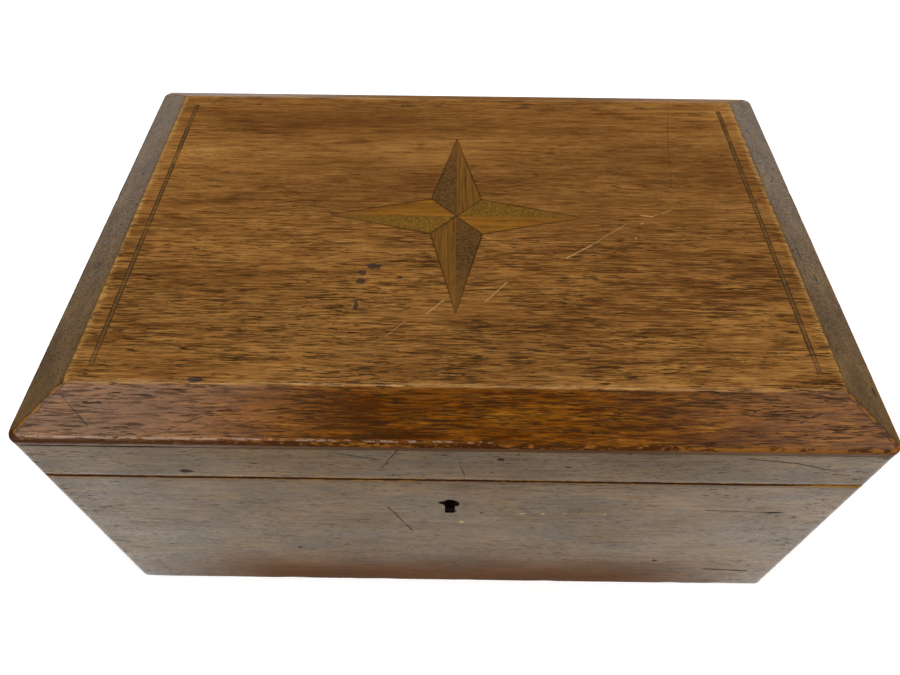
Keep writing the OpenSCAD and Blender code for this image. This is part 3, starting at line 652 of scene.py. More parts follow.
def finish_veneer(g, colour, pore, fleck, streaks):
    """Adds a painted shade along the foot, darker and more red, with less coat there, and the uneven polish,
    which has gaps at pores and flecks.
    """
    height = g.minus(g.times(streaks, 0.3), g.strongest(pore, fleck))
    fine_bump = g.bump(height, 0.05, 0.5)
    # painted shade: darker and more red along the foot, standing in for the box's shadow on the floor seen in
    # the polish
    low = g.times(g.step(g.z, 42.0, 6.0), g.step(g.absolute(g.x), 150.0, 75.0))
    colour = g.paint(colour, FOOT_PAINTED_SHADE, low, 0.7)
    haze = g.noise((0.03, 0.03, 0.06), detail=4, roughness=0.6, shift=15.0)
    speckle = g.noise((0.45, 0.45, 1.3), detail=3, roughness=0.7, shift=11.0)
    clouds = g.plus(g.scale(haze, -0.05, 0.47), g.scale(speckle, -0.18, 0.58))
    to_ends = g.step(g.absolute(g.x), 60.0, 145.0, 1.0, 1.45)
    to_ends = g.times(to_ends, g.step(g.z, LID_Z - 1.0, LID_Z, 1.0, 0.86))
    level = g.times(g.plus(g.scale(streaks, 0.05, 0.19), clouds), to_ends)
    gloss = g.times(g.scale(low, 1.0, 0.2), level)
    gaps = g.strongest(fleck, g.times(pore, 0.75))
    gloss = g.times(g.strongest(gloss, 0.0), g.scale(gaps, 1.0, 0.03))
    ripple = g.bump(g.noise((0.02, 0.02, 0.08), detail=3, shift=5.0), 0.6, 0.5)
    ripple = g.bump(g.minus(1.0, g.strongest(g.times(pore, 0.4), fleck)), 0.03, 0.5, ripple)
    roughness = g.scale(streaks, 0.3, 0.46)
    return g.finish(colour, roughness, fine_bump, coat=gloss, coat_roughness=0.16, coat_normal=ripple)


def scratch_front(g, colour, fleck, scratches, strength):
    """Dark scratches on the front: (colour, where the polish is broken)."""
    for (x1, z1), (x2, z2), width in scratches:
        mark = g.times(segment_mask(g, (x1, -HALF_D, z1), (x2, -HALF_D, z2), width), strength)
        colour = g.mix(mark, colour, GRIME)
        fleck = g.strongest(fleck, mark)
    return colour, fleck


def spot_front(g, colour, fleck, spots, strength):
    """Dark spots on the front: (colour, where the polish is broken)."""
    for x, z, rx, rz in spots:
        spot = g.times(spot_mask(g, (x, -HALF_D, z), (rx, 2.0, rz), 0.8), strength)
        colour = g.mix(spot, colour, GRIME)
        fleck = g.strongest(fleck, spot)
    return colour, fleck


def body_veneer_material():
    g, colour, pore, fleck, streaks = veneer_material("body_veneer", 0)
    front = -HALF_D
    colour, fleck = scratch_front(g, colour, fleck, BODY_SCRATCHES, 0.8)
    specks = broken(g, segment_mask(g, (26.0, front, 78.6), (60.0, front, 79.0), 0.9), 2.2, 0.25, 3.0)
    single = spot_mask(g, (KEY_X + 4.7, front, KEY_Z - 17.9), (1.0, 2.0, 1.0), 0.8)
    colour = g.paint(colour, STRAW_FLECK, g.strongest(specks, single), 0.8)
    # the broken edges of the keyhole, set back from the face, are painted near black: grime and painted shade
    chips_grime_and_shade = g.times(g.step(g.y, front + 0.1, front + 0.2), g.step(g.absolute(g.x), 12.0, 10.0),
                        g.step(g.y, front + 2.0, front + 1.5), g.step(g.z, KEY_Z - 14.0, KEY_Z - 12.0),
                        g.step(g.z, BODY_Z - 2.0, BODY_Z - 4.0))
    colour = g.mix(chips_grime_and_shade, colour, BLACK_GRIME_AND_SHADE)
    fleck = g.strongest(fleck, chips_grime_and_shade)
    colour, fleck = spot_front(g, colour, fleck, BODY_SPOTS, 0.8)
    return finish_veneer(g, colour, pore, fleck, streaks)


def lid_veneer_material():
    g, colour, pore, fleck, streaks = veneer_material("lid_veneer", 1)
    colour, fleck = scratch_front(g, colour, fleck, LID_SCRATCHES, 0.75)
    colour, fleck = spot_front(g, colour, fleck, LID_SPOTS, 0.85)
    under_board = g.step(g.minus(BOARD_Z, g.z), 0.85, 0.45)
    joint = g.times(under_board, g.step(g.x, -92.0, -102.0, 0.45, 1.0))
    colour = g.mix(joint, colour, JOINT_DARK)
    bare = spot_mask(g, (-HALF_W + 1, -HALF_D, BOARD_Z - 1.5), (3.5, 4.0, 2.5), 0.9)
    colour = g.paint(colour, BARE_CORNER, bare, 0.8)
    fleck = g.strongest(fleck, joint, g.times(bare, 0.7))
    return finish_veneer(g, colour, pore, fleck, streaks)


def edging_material():
    """The thin strips at the seam: polished outside, worn to orange at the seam's arris, with painted glints
    and a line of painted shade at the seam.
    """
    g = Graph("edging_mahogany")
    streaks = g.noise((0.02, 0.02, 1.5), detail=4, roughness=0.6, shift=2.0)
    colour = g.ramp(streaks, [(0.3, (0.05, 0.024, 0.012)), (0.6, (0.105, 0.048, 0.02))])
    from_seam = g.absolute(g.minus(g.z, PIVOT_Z))
    ragged = g.noise((0.22, 0.22, 0.8), detail=3, roughness=0.7, shift=3.0)
    patch = g.noise(0.03, detail=2, shift=9.0)
    inset = g.math("MINIMUM", *edge_distances(g))
    # the surfaces that meet at the seam: plain wood inside, rubbed at their outer edge
    meeting_grain = side_grain(g, end_wall(g), 18, 0.9, 4.0, 0.65, 3.0, 0.3)
    meeting = g.ramp(meeting_grain, [(0.32, (0.05, 0.02, 0.007)), (0.52, (0.12, 0.052, 0.016)),
                                     (0.68, (0.19, 0.092, 0.03))])
    colour = g.paint(colour, meeting, g.step(inset, 0.5, 1.1), g.step(from_seam, 0.5, 0.3))
    reach = g.times(ragged, patch, 4.4)
    at_edge = g.step(g.math("MULTIPLY_ADD", ragged, 2.0, inset), 2.6, 1.4)
    worn = g.times(g.step(g.minus(from_seam, reach), 0.1, -0.3), at_edge)
    # the veneer is gone just under the seam at the right-hand end of the front
    right_end = g.times(g.step(g.x, 118.0, 132.0), g.step(g.y, -98.5, -99.5))
    exposed = g.times(right_end, g.step(g.z, PIVOT_Z, PIVOT_Z - 0.2), g.step(ragged, 0.3, 0.42))
    colour = g.mix(g.strongest(worn, exposed), colour, SEAM_ORANGE)
    outer = g.step(g.math("MULTIPLY_ADD", ragged, 2.0, inset), 3.2, 2.0)
    near = g.times(g.step(from_seam, 1.15, 0.8), outer)
    colour = g.paint(colour, SEAM_BROWN, near, 0.9)
    # painted glints on the brown band by the seam; the same tint colours the bare wood at the right-hand end
    painted_glint = g.times(near, g.step(ragged, 0.5, 0.6))
    colour = g.mix(g.strongest(painted_glint, exposed), colour, SEAM_GLINT_AND_BARE_WOOD)
    # painted shade: a dark line right at the seam, in the gap between body and lid
    deep = g.times(g.step(from_seam, 0.7, 0.48), outer, g.scale(exposed, 0.95, 0.2))
    colour = g.mix(deep, colour, SEAM_PAINTED_SHADE)
    gloss = g.scale(g.strongest(worn, exposed, near), 0.55, 0.06)
    bump = g.bump(streaks, 0.05, 0.4)
    return g.finish(colour, g.scale(ragged, 0.3, 0.5), bump, coat=gloss)


def star_material(name, figure, dark, light, axis):
    """Inlaid veneer; figure is "burr" for speckles or "stripe" for streaks along axis."""
    g = Graph(name)
    if figure == "burr":
        cells = g.noise(0.9, detail=3, roughness=0.7, distortion=0.6, shift=3.0)
        tone = g.step(cells, 0.36, 0.64)
        tone = g.math("MULTIPLY_ADD", tone, 0.6, 0.2)
    else:
        tone = g.math("MULTIPLY_ADD", grain(g, 26, 0.8, 3.0, 0.6, 2.0, 0.5, axis), 1.6, -0.3)
    cloud = g.noise(0.06, detail=2, shift=6.0)
    tone = g.weighted((tone, 0.75), (cloud, 0.25))
    colour = g.ramp(tone, [(0.15, dark), (0.8, light)])
    line = pores(g, 14.0, 0.6, 0.45, axis, 4.0, clusters=False)
    colour = g.paint(colour, GRIME, line, 0.6 if figure == "stripe" else 0.2)
    colour = g.paint(colour, GRIME, star_lines(g), 0.65)
    from_middle = g.vector("LENGTH", g.vector("MULTIPLY", g.place, (1.0, 1.0, 0.0)))
    colour = g.paint(colour, STAR_TIP, g.step(from_middle, STAR_R * 0.5, STAR_R), 0.75)
    return g.finish(colour, 0.45, g.bump(tone, 0.04, 0.4), coat=0.1, coat_roughness=0.22)


def string_material(name, dark, light):
    """A stained line of the border, rubbed away to the board's wood in places."""
    g = Graph(name)
    tone = g.noise(0.6, detail=3, roughness=0.7, shift=1.0)
    colour = g.ramp(tone, [(0.3, dark), (0.7, light)])
    on_long = g.step(g.minus(g.absolute(g.y), STRING_MID_Y), -2.0, -1.2)
    rubbed = g.step(g.noise(0.08, detail=2, shift=4.0), 0.3, 0.42)
    patchy = g.step(g.noise(0.11, detail=3, shift=14.0), 0.42, 0.62)
    rubbed = g.strongest(g.times(rubbed, on_long, 0.9), g.times(patchy, 0.38))
    colour = g.mix(rubbed, colour, board_face(g, edge_distances(g)[1])[0])
    return g.finish(colour, 0.45, g.bump(tone, 0.04, 0.4), coat=0.1, coat_roughness=0.25)


def softwood_material():
    """Bare planed softwood of the carcass, toned by age."""
    g = Graph("carcass_softwood")
    on_end = end_wall(g)
    rings = side_grain(g, on_end, 320, 7.0, 3.0, 0.5, 2.0, 1.2, 3.0)
    fine = side_grain(g, on_end, 30, 0.5, 3.0, 0.6, 3.0, 0.0, 3.0)
    tone = g.weighted((rings, 0.75), (fine, 0.25))
    colour = g.ramp(tone, [(0.34, (0.25, 0.13, 0.05)), (0.5, (0.36, 0.205, 0.09)),
                           (0.64, (0.44, 0.27, 0.125))])
    stain = g.noise(0.018, detail=4, roughness=0.6, shift=7.0)
    colour = g.paint(colour, INNER_STAIN, g.step(stain, 0.5, 0.72), 0.45)
    # grime and painted shade behind the keyhole, near black
    keyhole = g.vector("DIVIDE", g.vector("SUBTRACT", g.place, (KEY_X, -HALF_D, KEY_Z - 3)), (7.0, 9.0, 9.0))
    keyhole_grime_and_shade = g.step(g.vector("LENGTH", keyhole), 1.0, 0.85)
    colour = g.paint(colour, BLACK_GRIME_AND_SHADE, keyhole_grime_and_shade, 0.97)
    return g.finish(colour, g.scale(fine, 0.55, 0.75), g.bump(fine, 0.08, 0.5), specular=0.25)


def metal_material(name, colour_low, colour_high, low_rough, high_rough):
    """Old metal: dull film, brighter where it is rubbed, fine scratches."""
    g = Graph(name)
    film = g.noise(0.25, detail=4, roughness=0.65, shift=3.0)
    scratches = g.noise((0.3, 3.0, 3.0), detail=3, roughness=0.6, shift=8.0)
    colour = g.ramp(g.weighted((film, 0.7), (scratches, 0.3)), [(0.35, colour_low), (0.65, colour_high)])
    bump = g.bump(scratches, 0.02, 0.4)
    return g.finish(colour, g.scale(film, high_rough, low_rough), bump, metallic=1.0, specular=0.5)


# ---- shapes that follow the box's outline

FRONT, RIGHT, BACK, LEFT = 0, 90, 180, 270
SIDE_NAMES = {"front": FRONT, "right": RIGHT, "back": BACK, "left": LEFT}
ARC_STEPS = 5
SEAM_REACH = HALF_W - INNER_W
# rows of faces up each kind of strip
BODY_ROWS = 40
LID_ROWS = 12
EDGING_ROWS = 2
# edges sharper than these angles stay sharp, in degrees
SHARP_SIDE = 32
SHARP_BOARD = 40
SHARP_INLAY = 50


def turned(u, w, turn):
    """A point u along a side and w out from the middle, in plan, for the side at that turn."""
    return {FRONT: (u, -w), RIGHT: (w, u), BACK: (-u, w), LEFT: (-w, -u)}[turn]


def side_lengths(turn):
    """(half length, half depth) of the box as seen from one side."""
    return (HALF_W, HALF_D) if turn in (FRONT, BACK) else (HALF_D, HALF_W)


def side_point(turn, inset, radius, station, count):
    """Plan point at one of count + 1 stations between the mitres of a side, at an inset from its face."""
    length, depth = side_lengths(turn)
    middle_u, middle_w = length - inset - radius, depth - inset - radius
    if station <= ARC_STEPS:
        angle = math.radians(-45 * (1 - station / ARC_STEPS))
        return turned(-middle_u + radius * math.sin(angle), middle_w + radius * math.cos(angle), turn)
    if station >= count - ARC_STEPS:
        angle = math.radians(45 * (station - count + ARC_STEPS) / ARC_STEPS)
        return turned(middle_u + radius * math.sin(angle), middle_w + radius * math.cos(angle), turn)
    share = (station - ARC_STEPS) / (count - 2 * ARC_STEPS)
    return turned(middle_u * (2 * share - 1), middle_w + radius, turn)


def hollow(x, y, z):
    """How far an upright face lies under its true plane here, as old veneer does."""
    broad = wobble(x, y, z, 42, 3.0)
    fine = wobble(x, y, z, 11, 8.0)
    return 0.09 + 0.06 * broad + 0.022 * fine


def section(low, high, thick, round_low, round_high, rows):
    """(inset, z) points round a strip's section: its outer face from the bottom, then its inner face."""
    arc = [(1 - math.sin(a), 1 - math.cos(a)) for a in map(math.radians, (0, 30, 60, 90))]
    points = [(round_low * u, low + round_low * v) for u, v in arc]
    points += [(0.0, z) for z in steps(low + round_low, high - round_high, rows)[1:-1]]
    points += [(round_high * u, high - round_high * v) for u, v in reversed(arc)]
    return points + [(thick, high), (thick, low)]


def wrapped_strip(turn, low, high, thick, round_low, round_high, rows, spacing=2.5):
    """(points, faces) of a strip between two mitres. The roundings are functions of a plan point."""
    length = side_lengths(turn)[0]
    count = round(2 * length / spacing) + 2 * ARC_STEPS
    verts, faces = [], []
    for station in range(count + 1):
        x, y = side_point(turn, 0.0, CORNER_R, station, count)
        ring = section(low, high, thick, round_low(x, y), round_high(x, y), rows)
        for number, (inset, z) in enumerate(ring):
            if number < len(ring) - 2:
                inset += hollow(x, y, z)
            radius = max(CORNER_R - inset, 0.0)
            verts.append((*side_point(turn, inset, radius, station, count), z))
    size = len(ring)
    for station in range(count):
        start = station * size
        faces += [[start + i, start + (i + 1) % size, start + size + (i + 1) % size, start + size + i]
                  for i in range(size)]
    faces += [list(range(size)), list(range(count * size, (count + 1) * size))]
    return verts, faces


def crisp(x, y):
    """Rounding of an edge that lies against another strip."""
    return 0.06


def seam_wear(x, y):
    """Rounding of the edges at the seam: more where hands open the box."""
    chips = max(wobble(x, y, 0, 9, 5.0), 0.0) ** 2
    return min(0.52 + 0.16 * wobble(x, y, 0, 30, 2.0) + 0.35 * chips, 0.85)


def base_wear(x, y):
    """Rounding of the box's lowest edge, with a few bruises."""
    chips = max(wobble(x, y, 0, 14, 7.0) - 0.15, 0.0)
    return 0.45 + 0.15 * wobble(x, y, 0, 35, 1.0) + 1.6 * chips


def board_wear(x, y):
    """Rounding where the rim meets the board."""
    return 0.3 + 0.1 * wobble(x, y, 0, 25, 4.0)


def keyhole_outline():
    """The keyhole's round head and straight slot, as (x, z) points."""
    half = KEYHOLE_SLOT / 2
    start = math.atan2(-math.sqrt(KEYHOLE_R ** 2 - half ** 2), half)
    angles = steps(start, math.pi - start, 28)
    points = [(KEY_X + KEYHOLE_R * math.cos(a), KEY_Z + KEYHOLE_R * math.sin(a)) for a in angles]
    foot = KEY_Z - KEYHOLE_FOOT
    return points + [(KEY_X - half, foot + 0.5), (KEY_X - half + 0.5, foot),
                     (KEY_X + half - 0.4, foot), (KEY_X + half, foot + 0.4)]


def keyhole_chips():
    """Splintered veneer beside the keyhole, as shallow cutters."""
    left = [(-1.0, -1.0), (-1.4, 2.1), (-2.6, 1.2), (-4.4, 0.4), (-4.5, -0.5), (-2.8, -1.6), (-1.8, -3.4)]
    right = [(1.0, 0.0), (1.6, -3.3), (3.4, -3.0), (3.7, -0.2), (2.8, 1.4), (1.3, 2.1)]
    foot = [(1.0, -7.0), (1.6, -8.6), (2.9, -7.5), (1.6, -6.2)]
    cutters = []
    for outline, depth in ((left, 0.7), (right, 0.6), (foot, 0.5)):
        moved = [(KEY_X + x, KEY_Z + z) for x, z in outline]
        cutters.append(prism(moved, 1, -HALF_D - 1, -HALF_D + depth))
    return cutters


def groove_cutter():
    """The V between the chamfered back edges of body and lid, as in the CAD model."""
    reach = HALF_D - PIVOT_Y + 1
    rise = reach * math.tan(STOP_ANGLE)
    outline = [(PIVOT_Y, PIVOT_Z), (PIVOT_Y + reach, PIVOT_Z - rise), (PIVOT_Y + reach, PIVOT_Z + rise)]
    return prism(outline, 0, -HALF_W - 1, HALF_W + 1)


def metal_recess(node, room=0.1):
    """Cutter for a node's box with a little room, through the edging from above or below."""
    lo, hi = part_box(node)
    low = (lo.x / MM - room, lo.y / MM - room, max(lo.z / MM - room, BODY_Z - 6))
    return box_cutter(low, (hi.x / MM + room, hi.y / MM + 1, min(hi.z / MM + room, LID_Z + 3)))


def make_side(part, side, low, high, thick, wears, rows, body, material, slot, cutters=()):
    """One strip of veneer or edging, in place of the CAD node of that name."""
    verts, faces = wrapped_strip(SIDE_NAMES[side], low, high, thick, *wears, rows)
    obj = new_object("shape_" + part, verts, faces, body, material, slot)
    fix_normals(obj)
    cut_away(obj, cutters)
    sharpen(obj, SHARP_SIDE)
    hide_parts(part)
    return obj


def make_sides():
    """The veneers and edgings that show at the front and at both ends."""
    groove = groove_cutter()
    keyhole = prism(keyhole_outline(), 1, -HALF_D - 1, -HALF_D + 3)
    body_veneer = body_veneer_material()
    lid_veneer = lid_veneer_material()
    edging = edging_material()
    for side in ("front", "left", "right"):
        cuts = [] if side == "front" else [groove]
        holes = [keyhole, *keyhole_chips()] if side == "front" else cuts
        body_plate = [metal_recess("lock_plate")] if side == "front" else cuts
        lid_plate = [metal_recess("link_plate")] if side == "front" else cuts
        make_side(side + "_veneer", side, 0, BODY_Z - EDGING_T, VENEER_T, (base_wear, crisp), BODY_ROWS,
                  "body", body_veneer, "rim_mahogany", holes)
        make_side(side + "_edging", side, BODY_Z - EDGING_T, BODY_Z, SEAM_REACH, (crisp, seam_wear),
                  EDGING_ROWS, "body", edging, "edging_mahogany", body_plate)
        make_side("lid_" + side + "_edging", side, LID_Z, LID_Z + EDGING_T, SEAM_REACH, (seam_wear, crisp),
                  EDGING_ROWS, "lid", edging, "edging_mahogany", lid_plate)
        make_side("lid_" + side + "_veneer", side, LID_Z + EDGING_T, BOARD_Z, VENEER_T, (crisp, board_wear),
                  LID_ROWS, "lid", lid_veneer, "rim_mahogany", cuts)
    return body_veneer, lid_veneer, edging


# ---- the top board and its inlay

BEVEL_SLOPE = BEVEL_RISE / BEVEL_INSET
HIP_R = 0.7
# (x, y, depth, size) of dents in the board, in millimetres
NICKS = [
    (-128.5, 86.0, 0.5, 1.3), (-91.0, -83.6, 0.35, 1.4), (119.0, -93.0, 0.35, 1.6), (114.0, -92.0, 0.3, 1.0),
    (131.0, 60.0, 0.3, 1.6), (-131.5, -40.0, 0.3, 1.3), (60.0, -84.6, 0.3, 1.2), (-20.0, 84.4, 0.3, 1.2),
    (-148.6, -100.4, 0.7, 2.2), (149.0, -100.8, 0.6, 2.0), (149.5, 30.0, 0.4, 1.4), (-149.5, 20.0, 0.35, 1.4),
    (45.0, -101.6, 0.4, 1.6), (-60.0, -101.6, 0.35, 1.3), (-132.0, -84.0, 0.5, 1.5),
    (131.8, -84.0, 0.45, 1.4),
]


def hip_radius(inset):
    """Rounding of the board's corners in plan, which tightens up the bevel."""
    return max(CORNER_R - 0.35 * inset, HIP_R)


def dent(x, y):
    """How far the board's surface is knocked in here."""
    depth = 0.0
    for nick_x, nick_y, deep, size in NICKS:
        square = ((x - nick_x) ** 2 + (y - nick_y) ** 2) / size ** 2
        if square < 6:
            depth += deep * math.exp(-square)
    return depth


def board_height(inset, x, y):
    """Height of the bevel and of the flat at an inset from the board's outline."""
    blend = 1.05 + 0.45 * wobble(x, y, 0, 16, 6.0) + 0.35 * wobble(x, y, 0, 5, 9.0)
    ripple = 0.05 + 0.05 * wobble(x, y, 0, 30, 1.5)
    slope = ARRIS_Z + BEVEL_SLOPE * inset - ripple
    return smooth_min(TOP_Z, slope, max(blend, 0.4))


def board_profile(x, y):
    """(inset, z) points from the underside, round the square edge and up the bevel onto the flat."""
    under = 0.25 + 0.1 * wobble(x, y, 0, 20, 2.0)
    points = [(12.0, BOARD_Z), (under, BOARD_Z), (under * 0.3, BOARD_Z + under * 0.3), (0.0, BOARD_Z + under)]
    radius = 0.7 + 0.3 * wobble(x, y, 0, 12, 4.0)
    lean = math.atan(BEVEL_SLOPE)
    middle_z = ARRIS_Z + BEVEL_SLOPE * radius - radius / math.cos(lean)
    points.append((0.0, (BOARD_Z + under + middle_z) / 2))
    for angle in steps(0.0, math.pi / 2 - lean, 4):
        points.append((radius * (1 - math.cos(angle)), middle_z + radius * math.sin(angle)))
    bevel = steps(2.0, BEVEL_INSET - 3.0, 8)
    arris = steps(BEVEL_INSET - 2.4, BEVEL_INSET + 2.4, 16)
    points += [(inset, board_height(inset, x, y)) for inset in bevel + arris + [BEVEL_INSET + 4.0]]
    return points


def board_rings():
    """(points, faces) of the solid board before its inlay is let in."""
    plan = []
    for turn in (FRONT, RIGHT, BACK, LEFT):
        count = round(2 * side_lengths(turn)[0] / 2.0) + 2 * ARC_STEPS
        plan += [(turn, station, count) for station in range(count)]
    verts = []
    for turn, station, count in plan:
        x, y = side_point(turn, 0.0, CORNER_R, station, count)
        for inset, z in board_profile(x, y):
            px, py = side_point(turn, inset, hip_radius(inset), station, count)
            knocked = dent(px, py) if z > BOARD_Z + 1 else 0.0
            verts.append((px, py, min(z, TOP_Z) - knocked))
    size = len(verts) // len(plan)
    faces = []
    for place in range(len(plan)):
        here, following = place * size, (place + 1) % len(plan) * size
        faces += [[here + i, following + i, following + i + 1, here + i + 1] for i in range(size - 1)]
    faces.append([place * size for place in reversed(range(len(plan)))])
    faces.append([place * size + size - 1 for place in range(len(plan))])
    return verts, faces


def star_outline():
    """The whole star, as plan points from tip to waist and round."""
    points = []
    for quarter in range(4):
        angle = math.radians(90 * quarter)
        for radius, offset in ((STAR_R, 0.0), (STAR_WAIST * math.sqrt(2), math.radians(45))):
            points.append((radius * math.cos(angle + offset), radius * math.sin(angle + offset)))
    return points


def string_cutter():
    """The closed channel that the border strings lie in."""
    low, high = TOP_Z - INLAY_T, TOP_Z + 1
    verts = []
    for level in (low, high):
        for out in (STRING_W / 2, -STRING_W / 2):
            half_x, half_y = STRING_MID_X + out, STRING_MID_Y + out
            verts += [(sx * half_x, sy * half_y, level) for sx, sy in ((-1, -1), (1, -1), (1, 1), (-1, 1))]
    faces = []
    for i in range(4):
        j = (i + 1) % 4
        faces += [[i, j, j + 4, i + 4], [i + 8, i + 12, j + 12, j + 8],
                  [i, i + 8, j + 8, j], [i + 4, j + 4, j + 12, i + 12]]
    return verts, faces


def make_board():
    """The solid top board, with its inlay's recesses."""
    obj = new_object("shape_top_board", *board_rings(), "lid", board_material(), "top_mahogany")
    fix_normals(obj)
    cut_away(obj, [prism(star_outline(), 2, TOP_Z - INLAY_T, TOP_Z + 1), string_cutter()])
    sharpen(obj, SHARP_BOARD)
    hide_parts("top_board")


def cut_line(start, end, count, amount):
    """Plan points between two corners of an inlay piece, a little uneven as a knife leaves them."""
    points = []
    for share in steps(0.0, 1.0, count)[:-1]:
        x = start[0] + (end[0] - start[0]) * share
        y = start[1] + (end[1] - start[1]) * share
        loose = amount * math.sin(math.pi * share) ** 0.5 if 0 < share < 1 else 0.0
        points.append((x + loose * wobble(x, y, 0, 5, 11.0), y + loose * wobble(x, y, 0, 5, 13.0)))
    return points


def inlay_piece(name, corners, proud, material, slot, nodes, count=14, amount=0.12, soft=0.12):
    """A flat piece of inlay with soft upper edges, let into the board."""
    outline = []
    for start, end in zip(corners, corners[1:] + corners[:1]):
        outline += cut_line(start, end, count, amount)
    verts, faces = prism(outline, 2, TOP_Z - INLAY_T, TOP_Z + proud)
    obj = new_object(name, verts, faces, "lid", material, slot)
    fix_normals(obj)
    bm = bmesh.new()
    bm.from_mesh(obj.data)
    top = max(v.co.z for v in bm.verts)
    edges = [e for e in bm.edges if all(abs(v.co.z - top) < 1e-6 for v in e.verts)]
    bmesh.ops.bevel(bm, geom=edges, offset=soft * MM, segments=2, profile=0.6, affect="EDGES",
                    clamp_overlap=True)
    bm.to_mesh(obj.data)
    bm.free()
    sharpen(obj, SHARP_INLAY)
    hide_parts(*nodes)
    return obj


def make_star():
    """Eight half kites. North and south are dark, east and west golden; one half of each is figured."""
    dark_burr = ((0.03, 0.014, 0.005), (0.115, 0.057, 0.016))
    dark_stripe = ((0.055, 0.023, 0.006), (0.168, 0.076, 0.014))
    gold_burr = ((0.07, 0.032, 0.006), (0.165, 0.085, 0.013))
    gold_stripe = ((0.098, 0.038, 0.006), (0.225, 0.098, 0.013))
    # name: (tip, waist, figure, colours, slot, how proud it stands)
    r, w = STAR_R, STAR_WAIST
    halves = {
        "north_left": ((0, r), (-w, w), "burr", dark_burr, "star_dark_burr", 0.03),
        "north_right": ((0, r), (w, w), "stripe", dark_stripe, "star_dark_stripe", 0.05),
        "south_left": ((0, -r), (-w, -w), "stripe", dark_stripe, "star_dark_stripe", 0.02),
        "south_right": ((0, -r), (w, -w), "burr", dark_burr, "star_dark_burr", 0.05),
        "west_front": ((-r, 0), (-w, -w), "burr", gold_burr, "star_gold_burr", 0.04),
        "west_back": ((-r, 0), (-w, w), "stripe", gold_stripe, "star_gold_stripe", 0.02),
        "east_back": ((r, 0), (w, w), "burr", gold_burr, "star_gold_burr", 0.03),
        "east_front": ((r, 0), (w, -w), "stripe", gold_stripe, "star_gold_stripe", 0.05),
    }
    for name, (tip, waist, figure, colours, slot, proud) in halves.items():
        axis = 0 if tip[1] == 0 else 1
        material = star_material("star_" + name, figure, *colours, axis)
        inlay_piece("shape_star_" + name, [(0, 0), waist, tip], proud, material, slot, ["star_" + name])


def string_quad(turn, inner, outer):
    """Plan corners of one side of the border between two distances from its middle line."""
    long_x, long_y = STRING_MID_X, STRING_MID_Y
    length, depth = (long_x, long_y) if turn in (FRONT, BACK) else (long_y, long_x)
    return [turned(-length - inner, depth + inner, turn), turned(length + inner, depth + inner, turn),
            turned(length + outer, depth + outer, turn), turned(-length - outer, depth + outer, turn)]


def make_strings():
    """The border: a light line between two dark ones, along each side of the flat."""
    light = string_material("string_light", (0.058, 0.03, 0.01), (0.125, 0.068, 0.022))
    dark = string_material("string_dark", (0.026, 0.014, 0.006), (0.072, 0.037, 0.013))
    half, core = STRING_W / 2, STRING_LIGHT_W / 2
    for side, turn in SIDE_NAMES.items():
        inlay_piece("shape_string_light_" + side, string_quad(turn, -core, core), 0.03, light, "string_light",
                    ["string_light_" + side], count=40, amount=0.07, soft=0.06)
        for place, low, high in (("inner", -half, -core), ("outer", core, half)):
            name = "shape_string_dark_%s_%s" % (side, place)
            inlay_piece(name, string_quad(turn, low, high), 0.01, dark, "string_dark",
                        ["string_dark_" + side], count=40, amount=0.05, soft=0.06)


# ---- finishes of the CAD nodes

def dress(names, material):
    """Gives carried-over CAD nodes a material."""
    for name in names:
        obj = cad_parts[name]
        obj.data.materials.clear()
        obj.data.materials.append(material)


def dress_frame(body_veneer, lid_veneer, edging):
    """Materials for the CAD nodes that no shape replaces."""
    walls = [side + "_wall" for side in SIDE_NAMES]
    rails = ["lid_" + side + "_rail" for side in SIDE_NAMES]
    dress([*walls, *rails, "bottom_board"], softwood_material())
    dress(["back_veneer"], body_veneer)
    dress(["lid_back_veneer"], lid_veneer)
    dress(["back_edging", "lid_back_edging"], edging)
    brass = metal_material("hinge_brass", (0.16, 0.085, 0.025), (0.48, 0.31, 0.1), 0.26, 0.5)
    plate = metal_material("lock_brass", (0.2, 0.115, 0.035), (0.55, 0.37, 0.13), 0.24, 0.45)
    steel = metal_material("lock_steel", (0.1, 0.085, 0.075), (0.34, 0.32, 0.3), 0.28, 0.55)
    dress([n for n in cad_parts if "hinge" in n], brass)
    dress(["lock_plate", "lock_cap", "link_plate", "lock_stumps"], plate)
    dress(["lock_bolt", "lock_spring", "lock_key_pin"], steel)
    dress(["lock_screws", "link_plate_screws", "bottom_brads"], steel)


# ---- camera, light and floor

CAMERA_AT = (-1.33, -213.4, 333.4)
CAMERA_YAW = math.radians(-0.213)
CAMERA_PITCH = math.radians(52.04)
CAMERA_ROLL = math.radians(0.591)
CAMERA_LENS = 27.41
# name: (place, size, power); places in metres
LIGHTS = {
    "left_panel": ((-0.95, -0.35, 1.15), (1.1, 1.4), 17.5),
    "right_panel": ((0.95, -0.35, 1.15), (1.1, 1.4), 18),
    "ceiling_strip": ((0.0, 0.05, 1.6), (0.9, 0.14), 4.5),
}
LIGHT_TARGET = Vector((0.0, 0.0, 0.1))
# (from, to) of the glow, and the heights or distances it changes between
WORLD_GLOW = (0.85, 0.07)
WORLD_RANGE = (0.05, 0.42)
FLOOR_GLOW = (0.22, 0.85)
FLOOR_RANGE = (0.45, 1.8)
FLOOR_HALF = 3.0


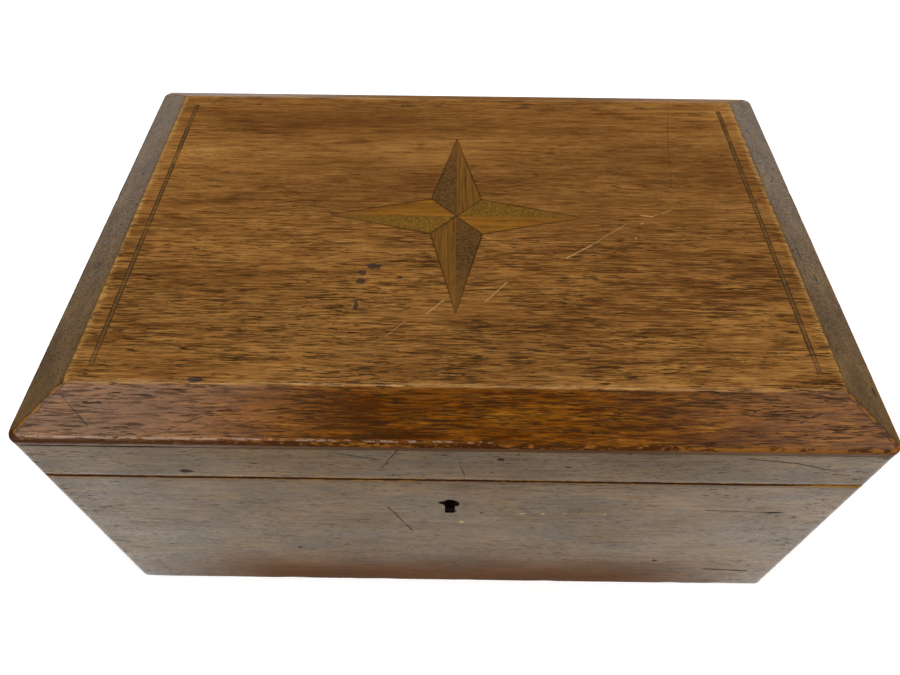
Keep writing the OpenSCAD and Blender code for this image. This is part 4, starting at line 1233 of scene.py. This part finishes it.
def make_camera():
    forward = Vector((math.sin(CAMERA_YAW) * math.cos(CAMERA_PITCH),
                      math.cos(CAMERA_YAW) * math.cos(CAMERA_PITCH), -math.sin(CAMERA_PITCH)))
    level = Vector((math.cos(CAMERA_YAW), -math.sin(CAMERA_YAW), 0.0))
    upward = level.cross(forward)
    right = math.cos(CAMERA_ROLL) * level + math.sin(CAMERA_ROLL) * upward
    up = -math.sin(CAMERA_ROLL) * level + math.cos(CAMERA_ROLL) * upward
    data = bpy.data.cameras.new("camera")
    data.sensor_width = 36
    data.lens = CAMERA_LENS
    data.clip_start = 0.01
    camera = link("camera", data)
    matrix = Matrix((right, up, -forward)).transposed().to_4x4()
    matrix.translation = Vector(CAMERA_AT) * MM
    camera.matrix_world = matrix
    bpy.context.scene.camera = camera


def make_light(name, place, size, power):
    """A rectangular panel that faces the box."""
    data = bpy.data.lights.new(name, "AREA")
    data.shape = "RECTANGLE"
    data.size, data.size_y = size
    data.energy = power
    light = link(name, data)
    light.location = place
    light.rotation_euler = (LIGHT_TARGET - Vector(place)).to_track_quat("-Z", "Y").to_euler()


def glow(tree, value, reach, strengths, target):
    """Strength that goes smoothly from one value to another as a socket's value crosses a range."""
    fade = tree.nodes.new("ShaderNodeMapRange")
    fade.interpolation_type = "SMOOTHSTEP"
    settings = zip(("From Min", "From Max", "To Min", "To Max"), (*reach, *strengths))
    for name, number in settings:
        fade.inputs[name].default_value = number
    tree.links.new(value, fade.inputs["Value"])
    tree.links.new(fade.outputs["Result"], target)


def make_world():
    """A dark studio above a pale band round the horizon."""
    world = bpy.data.worlds.new("studio")
    world.use_nodes = True
    tree = world.node_tree
    background = tree.nodes["Background"]
    background.inputs["Color"].default_value = (1.0, 1.0, 1.0, 1)
    direction = tree.nodes.new("ShaderNodeTexCoord")
    split = tree.nodes.new("ShaderNodeSeparateXYZ")
    tree.links.new(direction.outputs["Generated"], split.inputs["Vector"])
    glow(tree, split.outputs["Z"], WORLD_RANGE, WORLD_GLOW, background.inputs["Strength"])
    bpy.context.scene.world = world


def make_floor():
    """White paper that glows more far out, because the lights do not reach it there."""
    mesh = bpy.data.meshes.new("floor")
    corners = [(x * FLOOR_HALF, y * FLOOR_HALF, 0) for x, y in ((-1, -1), (1, -1), (1, 1), (-1, 1))]
    mesh.from_pydata(corners, [], [[0, 1, 2, 3]])
    floor = link("floor", mesh)
    material = bpy.data.materials.new("floor_paper")
    material.use_nodes = True
    tree = material.node_tree
    shader = tree.nodes["Principled BSDF"]
    shader.inputs["Base Color"].default_value = (0.93, 0.93, 0.93, 1)
    shader.inputs["Roughness"].default_value = 0.9
    shader.inputs["Specular IOR Level"].default_value = 0.1
    shader.inputs["Emission Color"].default_value = (1.0, 1.0, 1.0, 1)
    coordinates = tree.nodes.new("ShaderNodeTexCoord")
    distance = tree.nodes.new("ShaderNodeVectorMath")
    distance.operation = "LENGTH"
    tree.links.new(coordinates.outputs["Object"], distance.inputs[0])
    glow(tree, distance.outputs["Value"], FLOOR_RANGE, FLOOR_GLOW, shader.inputs["Emission Strength"])
    mesh.materials.append(material)


def make_stage():
    """Floor, world and lights, with plain tones."""
    make_floor()
    make_world()
    for name, (place, size, power) in LIGHTS.items():
        make_light(name, place, size, power)
    bpy.context.scene.view_settings.view_transform = "Standard"


dress_frame(*make_sides())
make_board()
make_star()
make_strings()
make_camera()
make_stage()
